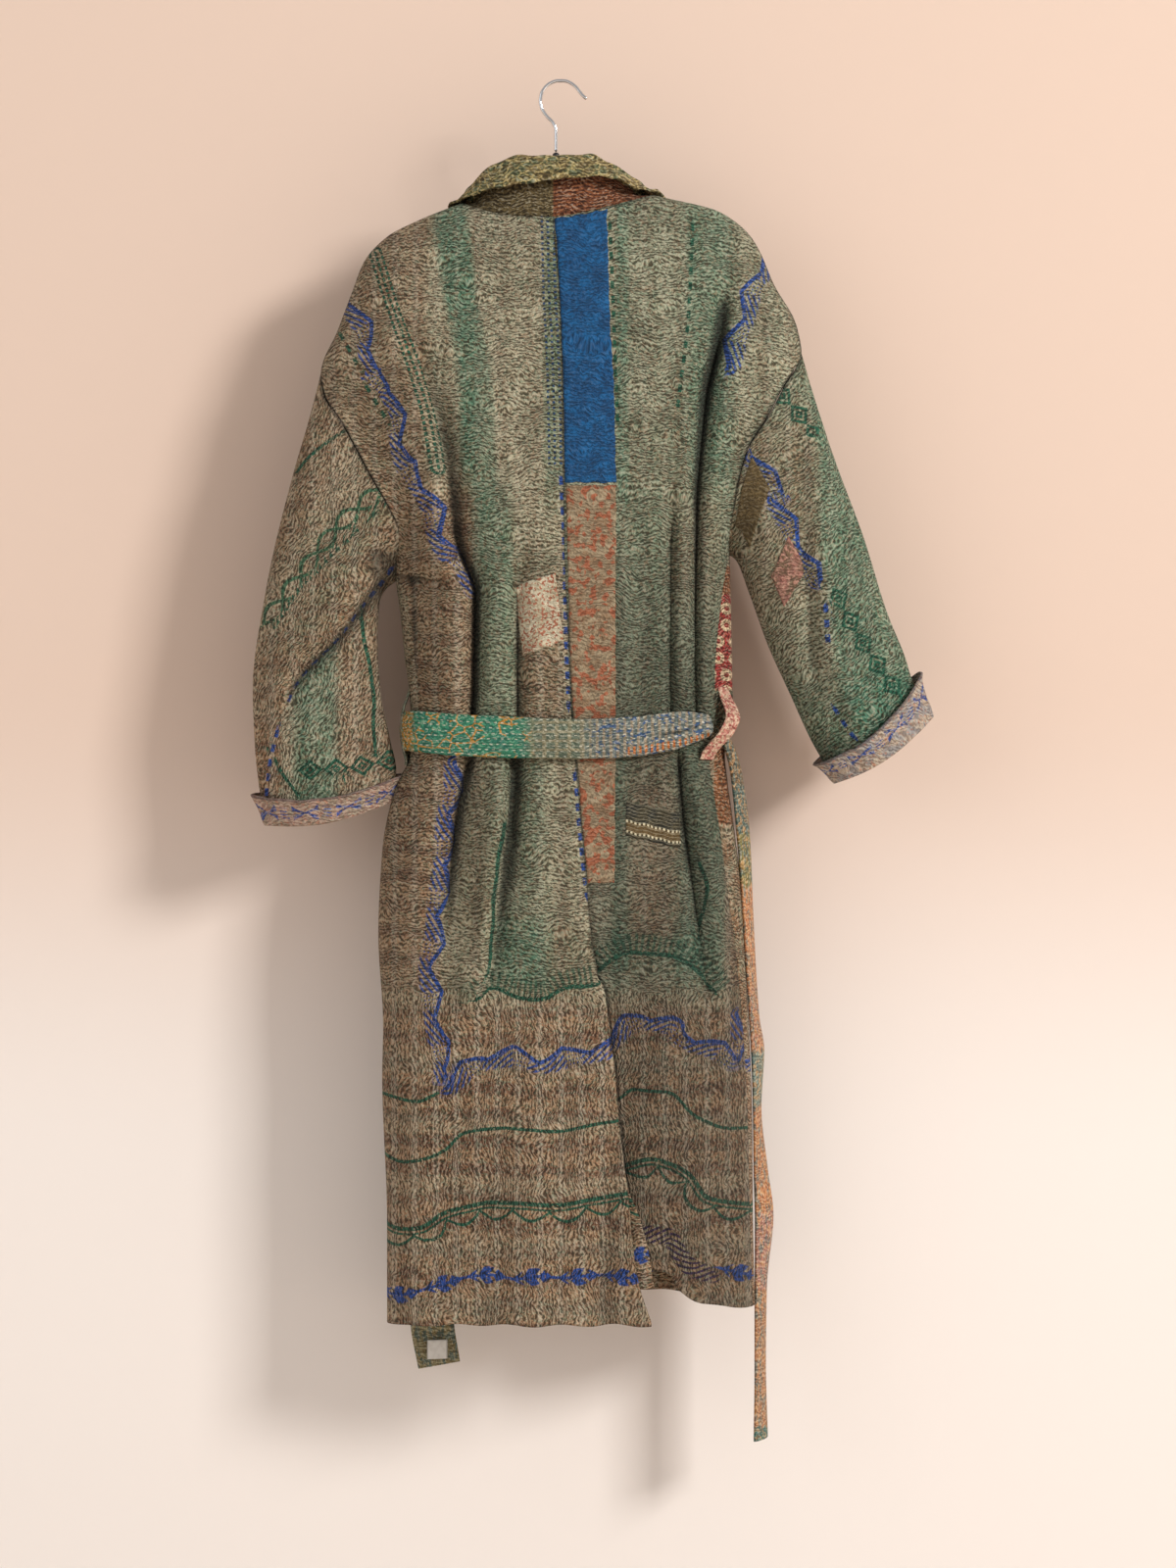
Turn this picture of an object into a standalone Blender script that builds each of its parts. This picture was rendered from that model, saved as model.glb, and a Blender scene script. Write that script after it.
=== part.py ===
"""A long quilted patchwork robe coat, hanging open on a hook hanger.

The coat is a wrap robe of stitched, layered cotton: two backs with a centre
seam and a vent, two fronts, two dropped sleeves with turned-up cuffs, a shawl
collar, a belt that runs through two loops and hangs down on both sides, and
six sewn-on patches.  +Z is up, +Y is the back of the coat and +X is the
wearer's left.  The origin is the inner top of the hook, where it is held.

Outlines are written as (column, row) readings of the back view, with 1080
units to the metre, and turned into metres by place().  Depths are millimetres.
"""

import math

import bmesh
import bpy
import numpy as np

for old in list(bpy.data.objects):
    bpy.data.objects.remove(old, do_unlink=True)

# Driving dimensions, in metres unless the name says otherwise
UNITS_PER_METRE = 1080.0
HOOK_COLUMN = 572.0
HOOK_ROW = 78.5
CLOTH = 0.0025
PATCH_CLOTH = 0.0010
SEAM_GAP = 0.0004
PATCH_LIFT = 0.0009
BELT_LIFT = 0.0075
BELT_CLOTH = 0.0028
WIRE = 0.0034
ARM_DEPTH = 34.0
NOSE_STEP = 0.03
ROW_STEP = 1.5

# Colours of the solids (linear RGB), roughness and metallic value
OLIVE = (0.22, 0.19, 0.11, 0.92, 0.0)
BROWN = (0.20, 0.14, 0.09, 0.92, 0.0)
MOSS = (0.17, 0.20, 0.12, 0.92, 0.0)
BEIGE = (0.38, 0.31, 0.24, 0.92, 0.0)
TEAL = (0.10, 0.22, 0.17, 0.9, 0.0)
BLUE = (0.01, 0.10, 0.30, 0.9, 0.0)
RUST = (0.34, 0.16, 0.09, 0.9, 0.0)
CREAM = (0.62, 0.58, 0.52, 0.9, 0.0)
DARK = (0.06, 0.07, 0.05, 0.9, 0.0)
PINK = (0.42, 0.20, 0.20, 0.9, 0.0)
CHROME = (0.70, 0.71, 0.73, 0.18, 1.0)
BLACK = (0.012, 0.012, 0.014, 0.45, 0.0)


def place(column, row, depth):
    """Metres for a column and row of the back view and a depth in mm towards the back."""
    x = (HOOK_COLUMN - column) / UNITS_PER_METRE
    z = (HOOK_ROW - row) / UNITS_PER_METRE
    return np.array([x, depth * 0.001, z])


def unit(v):
    """The direction of v."""
    return v / np.linalg.norm(v)


def through(table, at):
    """A soft line through (position, value) knots, without overshoot, read at one position."""
    x = np.array([k[0] for k in table], float)
    y = np.array([k[1] for k in table], float)
    h = np.diff(x)
    d = np.diff(y) / h
    m = np.zeros(len(x))
    m[0] = d[0]
    m[-1] = d[-1]
    for i in range(1, len(x) - 1):
        if d[i - 1] * d[i] > 0.0:
            m[i] = 2.0 * d[i - 1] * d[i] / (d[i - 1] + d[i])
    at = min(max(at, x[0]), x[-1])
    i = min(max(int(np.searchsorted(x, at)) - 1, 0), len(x) - 2)
    s = (at - x[i]) / h[i]
    a = (1.0 + 2.0 * s) * (1.0 - s) ** 2
    b = s * (1.0 - s) ** 2
    c = s * s * (3.0 - 2.0 * s)
    e = s * s * (s - 1.0)
    return float(a * y[i] + b * h[i] * m[i] + c * y[i + 1] + e * h[i] * m[i + 1])


def ease(t):
    """0 below 0, 1 above 1 and a smooth rise between."""
    t = min(max(t, 0.0), 1.0)
    return t * t * (3.0 - 2.0 * t)


# The middle line of the body, its two outlines, and where the pieces meet (row, column)
MIDDLE = [(160, 565), (225, 565), (290, 570), (330, 572), (400, 574), (480, 575), (560, 576), (650, 580),
          (720, 583), (800, 589), (882, 597), (963, 604), (994, 609), (1100, 608), (1360, 600)]
SIDE = {
    "left": [(206, 470), (222, 430), (240, 395), (265, 372), (295, 360), (335, 345), (378, 328), (399, 330),
             (435, 351), (486, 378), (514, 394), (544, 406), (583, 405), (626, 410), (676, 415), (706, 419),
             (748, 421), (773, 419.5), (802, 405), (870, 391), (955, 387), (1050, 392), (1100, 391), (1250, 396),
             (1352, 396)],
    "right": [(198, 668), (215, 735), (243, 768), (290, 790), (330, 812), (358, 817), (397, 798), (424, 784),
              (459, 763), (491, 754), (520, 749), (560, 743), (606, 744), (703, 746), (730, 747), (750, 742),
              (770, 738), (800, 741), (850, 748), (900, 754), (1000, 760), (1075, 764), (1140, 766),
              (1250, 767), (1340, 769)],
}
TOP = {"left": 206.0, "right": 198.0}
TIP = {"left": 378.0, "right": 358.0}
UNDERARM = {"left": 583.0, "right": 560.0}
HEM = {"left": 1346.0, "right": 1334.0}
# How far round the side, 0 at the middle and 1 at the outline, the side seam runs
SIDE_SEAM = {
    "left": [(583, 1.0), (605, 0.95), (700, 0.94), (780, 0.97), (860, 1.0), (1360, 1.0)],
    "right": [(560, 1.0), (606, 0.945), (703, 0.885), (750, 0.885), (800, 0.895), (892, 0.90), (984, 0.94),
              (1120, 0.965), (1340, 0.985)],
}
# Vent edges of the two backs and of the flap between them, below the seam's end
VENT_TOP = 994.0
VENT = {
    "left": [(994, 609), (1006, 616), (1045, 621), (1090, 627), (1147, 632), (1208, 640), (1294, 649.5),
             (1342, 664)],
    "right": [(994, 609), (1100, 613), (1208, 629), (1250, 641), (1289, 658), (1334, 662)],
}
FRONT_EDGE = {
    "left": [(206, 484), (260, 500), (350, 522), (450, 545), (560, 562), (650, 566), (1350, 566)],
    "right": [(198, 648), (260, 634), (350, 616), (450, 598), (560, 586), (650, 582), (1340, 582)],
}
# Depth of the middle of the back and of the front, row and mm
BACK_DEPTH = [(160, 40), (200, 41), (224, 44), (265, 50), (350, 58), (480, 62), (600, 60), (718, 53), (748, 51), (780, 51.6),
              (820, 59), (900, 66), (1050, 72), (1350, 76)]
FRONT_DEPTH = [(160, 26), (200, 28), (265, 37), (350, 50), (480, 58), (600, 58), (718, 52), (748, 50), (778, 51), (850, 58),
               (1050, 68), (1350, 72)]

# Folds of the backs: path (row, column), half width in units, height (row, mm)
FOLDS = {
    "left": [
        ([(300, 385), (390, 412), (480, 432), (560, 440), (600, 456), (700, 455), (775, 446), (840, 432),
          (950, 424), (1100, 430)], 20.0,
         [(300, 0), (390, 7), (480, 9), (600, 10), (700, 9), (775, 9), (900, 6), (1050, 2), (1150, 0)]),
        ([(343, 432), (390, 441), (448, 457), (480, 463), (560, 470), (600, 486), (700, 484), (775, 478),
          (841, 467), (950, 457)], 11.0,
         [(343, 0), (400, -5), (480, -7), (600, -11), (700, -9), (775, -8), (850, -6), (950, -3), (1050, 0)]),
        ([(520, 505), (730, 506), (775, 508), (850, 503), (950, 492), (1050, 470), (1150, 455)], 15.0,
         [(520, 0), (600, 5), (700, 6), (775, 8), (900, 7), (1000, 5), (1100, 3), (1200, 0)]),
        ([(560, 529), (775, 527), (860, 524), (950, 515), (1040, 490)], 11.0,
         [(560, 0), (600, -5), (730, -6), (775, -8), (860, -7), (950, -3), (1040, 0)]),
        ([(585, 424), (710, 429)], 8.0, [(585, 0), (610, -5), (690, -5), (720, 0)]),
    ],
    "right": [
        ([(300, 740), (330, 736), (367, 728), (404, 720), (459, 714), (515, 709.5), (740, 709)], 9.0,
         [(290, 0), (330, -8), (370, -12), (450, -10), (620, -10), (730, -8), (755, 0)]),
        ([(330, 760), (404, 748), (460, 738), (530, 728), (600, 722), (740, 718)], 10.0,
         [(330, 0), (404, 4), (500, 7), (700, 8), (735, 6), (760, 0)]),
        ([(450, 696), (560, 698), (740, 699)], 10.0, [(420, 0), (500, 4), (600, 6), (735, 6), (757, 0)]),
        ([(500, 682), (740, 684)], 8.0, [(480, 0), (560, -4), (735, -5), (750, 0)]),
        ([(760, 694), (830, 697), (900, 706), (1000, 718)], 9.0,
         [(755, 0), (775, -6), (830, -7), (900, -4), (1000, -1), (1040, 0)]),
        ([(765, 709), (800, 713), (882, 723), (943, 732), (1004, 737), (1100, 742)], 11.0,
         [(755, 0), (770, 6), (800, 8), (900, 8), (1000, 6), (1100, 3), (1200, 0)]),
    ],
}


def half_opening(side, row):
    """Half the depth in mm of the open armhole at a row, and 0 above the tip and below the underarm."""
    c = (row - TIP[side]) / (UNDERARM[side] - TIP[side])
    if c <= 0.0 or c >= 1.0:
        return 0.0
    return ARM_DEPTH * math.sin(math.pi * c) ** 0.6


def fold_height(side, column, row, s):
    """Sum in mm of the back's ridges and troughs, faded out at the outline and pressed under the belt."""
    total = 0.0
    for path, width, height in FOLDS[side]:
        d = (column - through(path, row)) / width
        total += through(height, row) * math.exp(-d * d)
    if row > 900.0:
        wave = 4.0 * math.sin(column / 21.0 + 0.6) + 2.0 * math.sin(column / 9.5 + row / 160.0)
        total += wave * ease((row - 900.0) / 350.0)
    pressed = math.exp(-(((row - 750.0) / 36.0) ** 4))
    if total > 0.0:
        total *= 1.0 - 0.92 * pressed
    return total * (1.0 - min(abs(s), 1.0) ** 8)


def rounded(reach, arm, lean, s):
    """Depth in mm across the body: full at the middle, blunt at the side, or arm deep at an open armhole."""
    swell = reach * lean ** 0.8
    edge = arm * abs(s) ** 3
    return (swell ** 4 + edge ** 4) ** 0.25


def body(side, angle, row, folded=True):
    """Point of the outer cloth: angle 0 is the middle of the back, 90 degrees the side, 180 the front."""
    s = math.sin(angle)
    back = math.cos(angle) >= 0.0
    lean = abs(math.cos(angle))
    level = row
    top = TOP[side]
    if back:
        fall = 224.0 - top - (18.0 if side == "left" else 26.0) * abs(s) ** (3.0 if side == "left" else 1.4)
        level = row + fall * (1.0 - ease((row - top) / 70.0))
    middle = through(MIDDLE, level)
    column = middle + (through(SIDE[side], row) - middle) * s
    low = ease((row - 1240.0) / 100.0)
    if side == "right":
        edge = [(600, -45), (660, -44), (680, -39), (694, -21), (715, -9), (750, -1), (770, 0)]
        rise = through(edge, column)
        if not back:
            rise = -9.0 * (1.0 - abs(s))
        level += low * rise
    else:
        rise = 6.0 * abs(s) ** 3 if back else 6.0 - 14.0 * (1.0 - abs(s))
        level += low * rise
    arm = half_opening(side, row)
    if back:
        reach = through(BACK_DEPTH, level)
        depth = rounded(reach, arm, lean, s)
        if folded:
            depth += fold_height(side, column, level, s)
        if side == "right" and row > VENT_TOP - 70.0:
            near = 1.0 - ease((column - 640.0) / 70.0)
            depth -= near * (5.0 * ease((row - VENT_TOP + 70.0) / 66.0) + 3.5 * ease((row - VENT_TOP) / 60.0))
    else:
        reach = through(FRONT_DEPTH, level)
        depth = -rounded(reach, arm, lean, s)
        swell = math.sin(column / 17.0) * 4.0 + math.sin(column / 40.0 + 1.0) * 3.0
        depth += swell * ease((row - 640.0) / 300.0) * (1.0 - abs(s) ** 6)
    return place(column, level, depth)


def body_normal(side, angle, row):
    """Outward direction of the cloth, read from both sides of a seam so that its two pieces agree."""
    ahead = angle + NOSE_STEP
    behind = angle - NOSE_STEP
    if half_opening(side, row) > 0.3:
        if angle <= math.pi / 2 + 1e-6:
            ahead = min(ahead, math.pi / 2 - 1e-4)
        else:
            behind = max(behind, math.pi / 2 + 1e-4)
    across = body(side, ahead, row) - body(side, behind, row)
    upper = max(row - ROW_STEP, TOP[side])
    down = body(side, angle, row + ROW_STEP) - body(side, angle, upper)
    n = np.cross(across, down)
    if side == "left":
        n = -n
    return -n / np.linalg.norm(n)


def to_angle(s, front=False):
    """The angle whose sine is s, on the back or on the front."""
    a = math.asin(min(max(s, -1.0), 1.0))
    return math.pi - a if front else a


def share(side, column, row):
    """Where a column lies between the middle (0) and the outline (1)."""
    middle = through(MIDDLE, row)
    return (column - middle) / (through(SIDE[side], row) - middle)


def body_rows(side, hem):
    """Rows of the panels: close at the shoulder, shared with the sleeve at the armhole, wide below."""
    first = {"left": [206, 214, 225, 240, 262, 292, 332], "right": [198, 207, 220, 238, 262, 292, 326]}[side]
    arm = [armhole_row(side, (1.0 - math.cos(math.pi * k / 8.0)) / 2.0) for k in range(9)]
    low = [622, 668, 712, 748, 788, 838, 900, 965, 1035, 1110, 1185, 1265, hem]
    return [float(r) for r in first] + arm + [float(r) for r in low]


def armhole_row(side, c):
    """Row of the armhole seam, c = 0 at the shoulder tip and 1 at the underarm."""
    return TIP[side] + (UNDERARM[side] - TIP[side]) * c


def finish(name, bm, colour, modifiers=()):
    """Turn a bmesh into a named object with its own material and optional modifiers."""
    bmesh.ops.recalc_face_normals(bm, faces=bm.faces)
    mesh = bpy.data.meshes.new(name)
    bm.to_mesh(mesh)
    bm.free()
    mesh.shade_smooth()
    ob = bpy.data.objects.new(name, mesh)
    bpy.context.scene.collection.objects.link(ob)
    mat = bpy.data.materials.new(name + "_material")
    mat.use_nodes = True
    node = mat.node_tree.nodes["Principled BSDF"]
    node.inputs["Base Color"].default_value = (colour[0], colour[1], colour[2], 1.0)
    node.inputs["Roughness"].default_value = colour[3]
    node.inputs["Metallic"].default_value = colour[4]
    mat.diffuse_color = (colour[0], colour[1], colour[2], 1.0)
    ob.data.materials.append(mat)
    for kind, settings in modifiers:
        mod = ob.modifiers.new(kind.title(), kind)
        for key, value in settings.items():
            setattr(mod, key, value)
    return ob


def wall(name, outer, inner, colour, closed=False):
    """A closed wall between two grids of points; closed joins the last column to the first."""
    bm = bmesh.new()
    rows = len(outer)
    cols = len(outer[0])
    a = [[bm.verts.new(p) for p in line] for line in outer]
    b = [[bm.verts.new(p) for p in line] for line in inner]
    span = cols if closed else cols - 1
    for i in range(rows - 1):
        for j in range(span):
            k = (j + 1) % cols
            bm.faces.new((a[i][j], a[i][k], a[i + 1][k], a[i + 1][j]))
            bm.faces.new((b[i][j], b[i + 1][j], b[i + 1][k], b[i][k]))
    for j in range(span):
        k = (j + 1) % cols
        bm.faces.new((a[0][j], b[0][j], b[0][k], a[0][k]))
        bm.faces.new((a[-1][j], a[-1][k], b[-1][k], b[-1][j]))
    if not closed:
        for i in range(rows - 1):
            bm.faces.new((a[i][0], a[i + 1][0], b[i + 1][0], b[i][0]))
            bm.faces.new((a[i][-1], b[i][-1], b[i + 1][-1], a[i + 1][-1]))
    return finish(name, bm, colour)


def sheet(name, points, colour, thickness, offset=-1.0, closed=False):
    """A grid of points given its thickness by Solidify; offset -1 keeps the points on the outside."""
    bm = bmesh.new()
    grid = [[bm.verts.new(p) for p in line] for line in points]
    cols = len(points[0])
    span = cols if closed else cols - 1
    for i in range(len(points) - 1):
        for j in range(span):
            k = (j + 1) % cols
            bm.faces.new((grid[i][j], grid[i][k], grid[i + 1][k], grid[i + 1][j]))
    mesh = bpy.data.meshes.new(name)
    bm.to_mesh(mesh)
    bm.free()
    mesh.shade_smooth()
    ob = bpy.data.objects.new(name, mesh)
    bpy.context.scene.collection.objects.link(ob)
    mod = ob.modifiers.new("Solidify", "SOLIDIFY")
    mod.thickness = thickness
    mod.offset = offset
    mod.use_even_offset = True
    mat = bpy.data.materials.new(name + "_material")
    mat.use_nodes = True
    node = mat.node_tree.nodes["Principled BSDF"]
    node.inputs["Base Color"].default_value = (colour[0], colour[1], colour[2], 1.0)
    node.inputs["Roughness"].default_value = colour[3]
    node.inputs["Metallic"].default_value = colour[4]
    ob.data.materials.append(mat)
    return ob


# Body panels

# Lines of the grid across a back, as shares of its width, moved on to the crests of the folds (row, share)
BACK_LINES = {
    "left": [
        [(206, 0.15), (1350, 0.15)],
        [(206, 0.28), (480, 0.26), (600, 0.30), (840, 0.345), (1000, 0.40), (1350, 0.40)],
        [(206, 0.41), (480, 0.38), (600, 0.43), (700, 0.48), (840, 0.465), (1000, 0.52), (1350, 0.52)],
        [(206, 0.54), (480, 0.56), (600, 0.555), (700, 0.62), (840, 0.65), (1000, 0.66), (1350, 0.66)],
        [(206, 0.68), (480, 0.71), (700, 0.80), (840, 0.82), (1350, 0.80)],
        [(206, 0.82), (480, 0.84), (700, 0.92), (1350, 0.92)],
        [(206, 0.93), (700, 0.97), (1350, 0.98)],
    ],
    "right": [
        [(198, 0.20), (480, 0.24), (1350, 0.22)],
        [(198, 0.40), (480, 0.46), (700, 0.48), (1350, 0.42)],
        [(198, 0.55), (480, 0.60), (560, 0.66), (700, 0.70), (830, 0.78), (1000, 0.78), (1350, 0.58)],
        [(198, 0.67), (480, 0.67), (560, 0.73), (700, 0.80), (830, 0.86), (1000, 0.86), (1350, 0.72)],
        [(198, 0.77), (480, 0.745), (560, 0.80), (700, 0.88), (830, 0.92), (1000, 0.92), (1350, 0.84)],
        [(198, 0.87), (480, 0.85), (560, 0.90), (700, 0.945), (830, 0.955), (1000, 0.96), (1350, 0.93)],
    ],
}


def vent_share(side, row):
    """Inner edge of a back as a share: the seam is 0, and below it the vent edge."""
    if row <= VENT_TOP:
        return 0.0
    return share(side, through(VENT[side], row), row)


def back_grid(side):
    """Outer and inner points of one back."""
    outer = []
    inner = []
    for row in body_rows(side, HEM[side]):
        width = abs(through(SIDE[side], row) - through(MIDDLE, row)) / UNITS_PER_METRE
        gap = 0.5 * SEAM_GAP / width
        start = vent_share(side, row) + gap
        end = through(SIDE_SEAM[side], row)
        at_nose = end > 0.999
        if row < UNDERARM[side]:
            end = 1.0
            at_nose = True
        stations = [0.0] + [through(line, row) for line in BACK_LINES[side]] + [1.0]
        line_out = []
        line_in = []
        for f in stations:
            s = start + (end - start) * f
            if f == 1.0 and not at_nose:
                s -= gap
            angle = to_angle(s)
            if f == 1.0 and at_nose:
                angle = math.pi / 2
            p = body(side, angle, row)
            n = body_normal(side, angle, row)
            if f == 1.0 and at_nose and half_opening(side, row) < 0.3:
                p[1] = 0.5 * SEAM_GAP
            line_out.append(p)
            line_in.append(p - n * CLOTH)
        outer.append(line_out)
        inner.append(line_in)
    return outer, inner


def front_grid(side):
    """Outer and inner points of one front, from the side seam round to its open edge."""
    outer = []
    inner = []
    for row in body_rows(side, HEM[side]):
        width = abs(through(SIDE[side], row) - through(MIDDLE, row)) / UNITS_PER_METRE
        gap = 0.5 * SEAM_GAP / width
        seam = through(SIDE_SEAM[side], row)
        at_nose = seam > 0.999 or row < UNDERARM[side]
        a0 = math.pi / 2 if at_nose else to_angle(seam + gap)
        a1 = to_angle(share(side, through(FRONT_EDGE[side], row), row), True)
        a1 -= 0.001
        line_out = []
        line_in = []
        for f in (0.0, 0.10, 0.24, 0.40, 0.58, 0.78, 1.0):
            angle = a0 + (a1 - a0) * f
            if f == 0.0 and at_nose:
                angle = math.pi / 2 + 1e-5
            p = body(side, angle, row)
            n = body_normal(side, angle, row)
            if f == 0.0 and at_nose and half_opening(side, row) < 0.3:
                p[1] = -0.5 * SEAM_GAP
            line_out.append(p)
            line_in.append(p - n * CLOTH)
        outer.append(line_out)
        inner.append(line_in)
    return outer, inner


for side_name, back_colour, front_colour in (("left", OLIVE, BROWN), ("right", OLIVE, RUST)):
    grid_out, grid_in = back_grid(side_name)
    wall("back_" + side_name, grid_out, grid_in, back_colour)
    grid_out, grid_in = front_grid(side_name)
    wall("front_" + side_name, grid_out, grid_in, front_colour)

# The flap of the vent, between the two backs
FLAP_RIGHT = [(1004, 607), (1100, 622), (1208, 639), (1240, 652), (1273, 661), (1310, 668)]
flap_points = []
for flap_row in (1004.0, 1050.0, 1110.0, 1185.0, 1240.0, 1280.0, 1309.0):
    line = []
    right_edge = through(FLAP_RIGHT, flap_row)
    for f in (0.0, 0.5, 1.0):
        column = right_edge - 26.0 + 26.0 * f
        s = share("left", column, flap_row)
        p = body("left", to_angle(s), flap_row)
        line.append(p - body_normal("left", to_angle(s), flap_row) * (CLOTH + 0.0018))
    flap_points.append(line)
sheet("vent_flap", flap_points, BROWN, 0.0014, offset=1.0)

# Sleeves: outer line and inner line of each (share of the length, column, row)
OUTER_LINE = {
    "left": [(0, 328, 378), (0.1, 318, 418), (0.3, 296, 495), (0.5, 272, 598), (0.7, 258, 700),
             (0.85, 260, 760), (0.94, 265, 806), (1, 270, 836)],
    "right": [(0, 817, 358), (0.1, 829, 400), (0.3, 852, 470), (0.5, 880, 545), (0.7, 904, 622),
              (0.85, 924, 672), (0.93, 930, 692), (1, 949, 727)],
}
INNER_LINE = {
    "left": [(0, 405, 583), (0.06, 400, 590), (0.12, 391, 597), (0.2, 383, 612), (0.4, 381, 650),
             (0.6, 384, 705), (0.8, 394, 756), (0.94, 400, 788), (1, 398, 813)],
    "right": [(0, 743, 560), (0.08, 754, 568), (0.2, 768, 602), (0.4, 787, 655), (0.6, 810, 706),
              (0.8, 831, 752), (0.93, 843, 774), (1, 854, 795)],
}
SLEEVE_DEPTH = {"left": [(0, 34), (0.2, 36), (0.5, 33), (0.8, 32), (1, 31)],
                "right": [(0, 34), (0.2, 37), (0.5, 36), (0.8, 36), (1, 36)]}
# Folds of the sleeves: path (share of length, share across), half width, height
SLEEVE_FOLDS = {
    "left": [([(0.1, 0.92), (0.2, 0.86), (0.4, 0.66), (0.6, 0.32), (0.75, 0.14), (0.9, 0.05)], 0.13,
              [(0.05, 0), (0.2, 5), (0.6, 6), (0.8, 3), (0.9, 0)]),
             ([(0.1, 1.0), (0.2, 0.99), (0.4, 0.80), (0.6, 0.46), (0.75, 0.28), (0.9, 0.2)], 0.09,
              [(0.05, 0), (0.2, -5), (0.6, -7), (0.8, -4), (0.9, 0)])],
    "right": [([(0.1, 0.06), (0.3, 0.25), (0.5, 0.42), (0.7, 0.56), (0.9, 0.6)], 0.12,
               [(0.05, 0), (0.3, 5), (0.7, 6), (0.9, 3), (1, 0)]),
              ([(0.1, 0.24), (0.3, 0.46), (0.5, 0.66), (0.7, 0.80), (0.9, 0.84)], 0.12,
               [(0.05, 0), (0.3, -4), (0.7, -5), (0.9, -2), (1, 0)])],
}


def line_point(table, v):
    """Column and row of a line given by (share, column, row) knots."""
    column = through([(k[0], k[1]) for k in table], v)
    row = through([(k[0], k[2]) for k in table], v)
    return np.array([column, row])


def sleeve(side, turn, v):
    """Point of a sleeve: turn 0 is its outer line, 1 its inner line, 0-1 the back and 1-2 the front."""
    c = (1.0 - math.cos(math.pi * turn)) / 2.0
    outer = line_point(OUTER_LINE[side], v)
    inner = line_point(INNER_LINE[side], v)
    arm_row = armhole_row(side, c)
    seam = np.array([through(SIDE[side], arm_row), arm_row])
    start = line_point(OUTER_LINE[side], 0.0)
    end = line_point(INNER_LINE[side], 0.0)
    bow = seam - (start + (end - start) * c)
    spot = outer + (inner - outer) * c + bow * (1.0 - ease(v / 0.4))
    back = turn <= 1.0
    round_part = abs(math.sin(math.pi * turn)) ** 0.9 * through(SLEEVE_DEPTH[side], v)
    first = half_opening(side, arm_row)
    blend = ease(v / 0.18)
    depth = first * (1.0 - blend) + round_part * blend
    dip = 9.0 * ease((v - 0.6) / 0.4) * math.sin(math.pi * c)
    if back:
        for path, width, height in SLEEVE_FOLDS[side]:
            d = (c - through(path, v)) / width
            fade = math.sin(math.pi * min(max(c, 0.0), 1.0)) ** 0.5
            depth += through(height, v) * math.exp(-d * d) * fade
        spot = spot + np.array([0.0, dip])
    else:
        depth = -depth
        spot = spot - np.array([0.0, 0.3 * dip])
    return place(spot[0], spot[1], depth)


def sleeve_normal(side, turn, v):
    """Outward direction of the sleeve's cloth."""
    around = sleeve(side, (turn + 0.02) % 2.0, v) - sleeve(side, (turn - 0.02) % 2.0, v)
    along = sleeve(side, turn, min(v + 0.01, 1.0)) - sleeve(side, turn, max(v - 0.01, 0.0))
    n = np.cross(around, along)
    if side == "left":
        n = -n
    return unit(n)


RING = 16
SLEEVE_STEPS = (0.0012, 0.06, 0.14, 0.24, 0.36, 0.48, 0.60, 0.72, 0.84, 0.93, 1.0)
for side_name in ("left", "right"):
    outer_grid = []
    inner_grid = []
    for v in SLEEVE_STEPS:
        ring_out = []
        ring_in = []
        for j in range(RING):
            turn = 2.0 * j / RING
            p = sleeve(side_name, turn, v)
            n = sleeve_normal(side_name, turn, v)
            if v < 0.01:
                c = (1.0 - math.cos(math.pi * turn)) / 2.0
                arm_row = armhole_row(side_name, c)
                at_edge = math.pi / 2 if turn <= 1.0 else math.pi / 2 + 1e-5
                inside = math.pi / 2 - 0.05 if turn <= 1.0 else math.pi / 2 + 0.05
                n = body_normal(side_name, at_edge, arm_row)
                edge_point = body(side_name, at_edge, arm_row)
                away = unit(edge_point - body(side_name, inside, arm_row))
                if j in (0, RING // 2):
                    away = unit(sleeve(side_name, turn, 0.03) - sleeve(side_name, turn, 0.0))
                p = edge_point + away * (0.0010 + 0.0036 * math.cos(math.pi * turn) ** 4)
            ring_out.append(p)
            ring_in.append(p - n * CLOTH)
        outer_grid.append(ring_out)
        inner_grid.append(ring_in)
    wall("sleeve_" + side_name, outer_grid, inner_grid, MOSS, closed=True)


def out_of_sleeve(side, turn):
    """Level direction away from the sleeve's axis near its end."""
    n = sleeve_normal(side, turn, 0.97)
    return n


# Turned-up cuffs: (share along the sleeve, distance off its outer surface in mm)
CUFF_SECTION = {"left": [(0.945, 10.5), (0.965, 7.5), (0.985, 5.2), (1.0, 4.4), (1.012, 2.6), (1.014, -1.0)],
                "right": [(0.93, 13.0), (0.95, 9.5), (0.975, 6.4), (0.995, 4.8), (1.010, 2.6), (1.012, -1.0)]}
for side_name in ("left", "right"):
    rings = []
    for v, off in CUFF_SECTION[side_name]:
        ring_points = []
        for j in range(RING):
            turn = 2.0 * j / RING
            base = sleeve(side_name, turn, min(v, 1.0))
            if v > 1.0:
                step = sleeve(side_name, turn, 1.0) - sleeve(side_name, turn, 0.96)
                base = base + step * ((v - 1.0) / 0.04)
            ring_points.append(base + out_of_sleeve(side_name, turn) * off * 0.001)
        rings.append(ring_points)
    facing = 1.0 if side_name == "left" else -1.0
    sheet("cuff_" + side_name, rings, BEIGE, 0.0022, offset=facing, closed=True)

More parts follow.
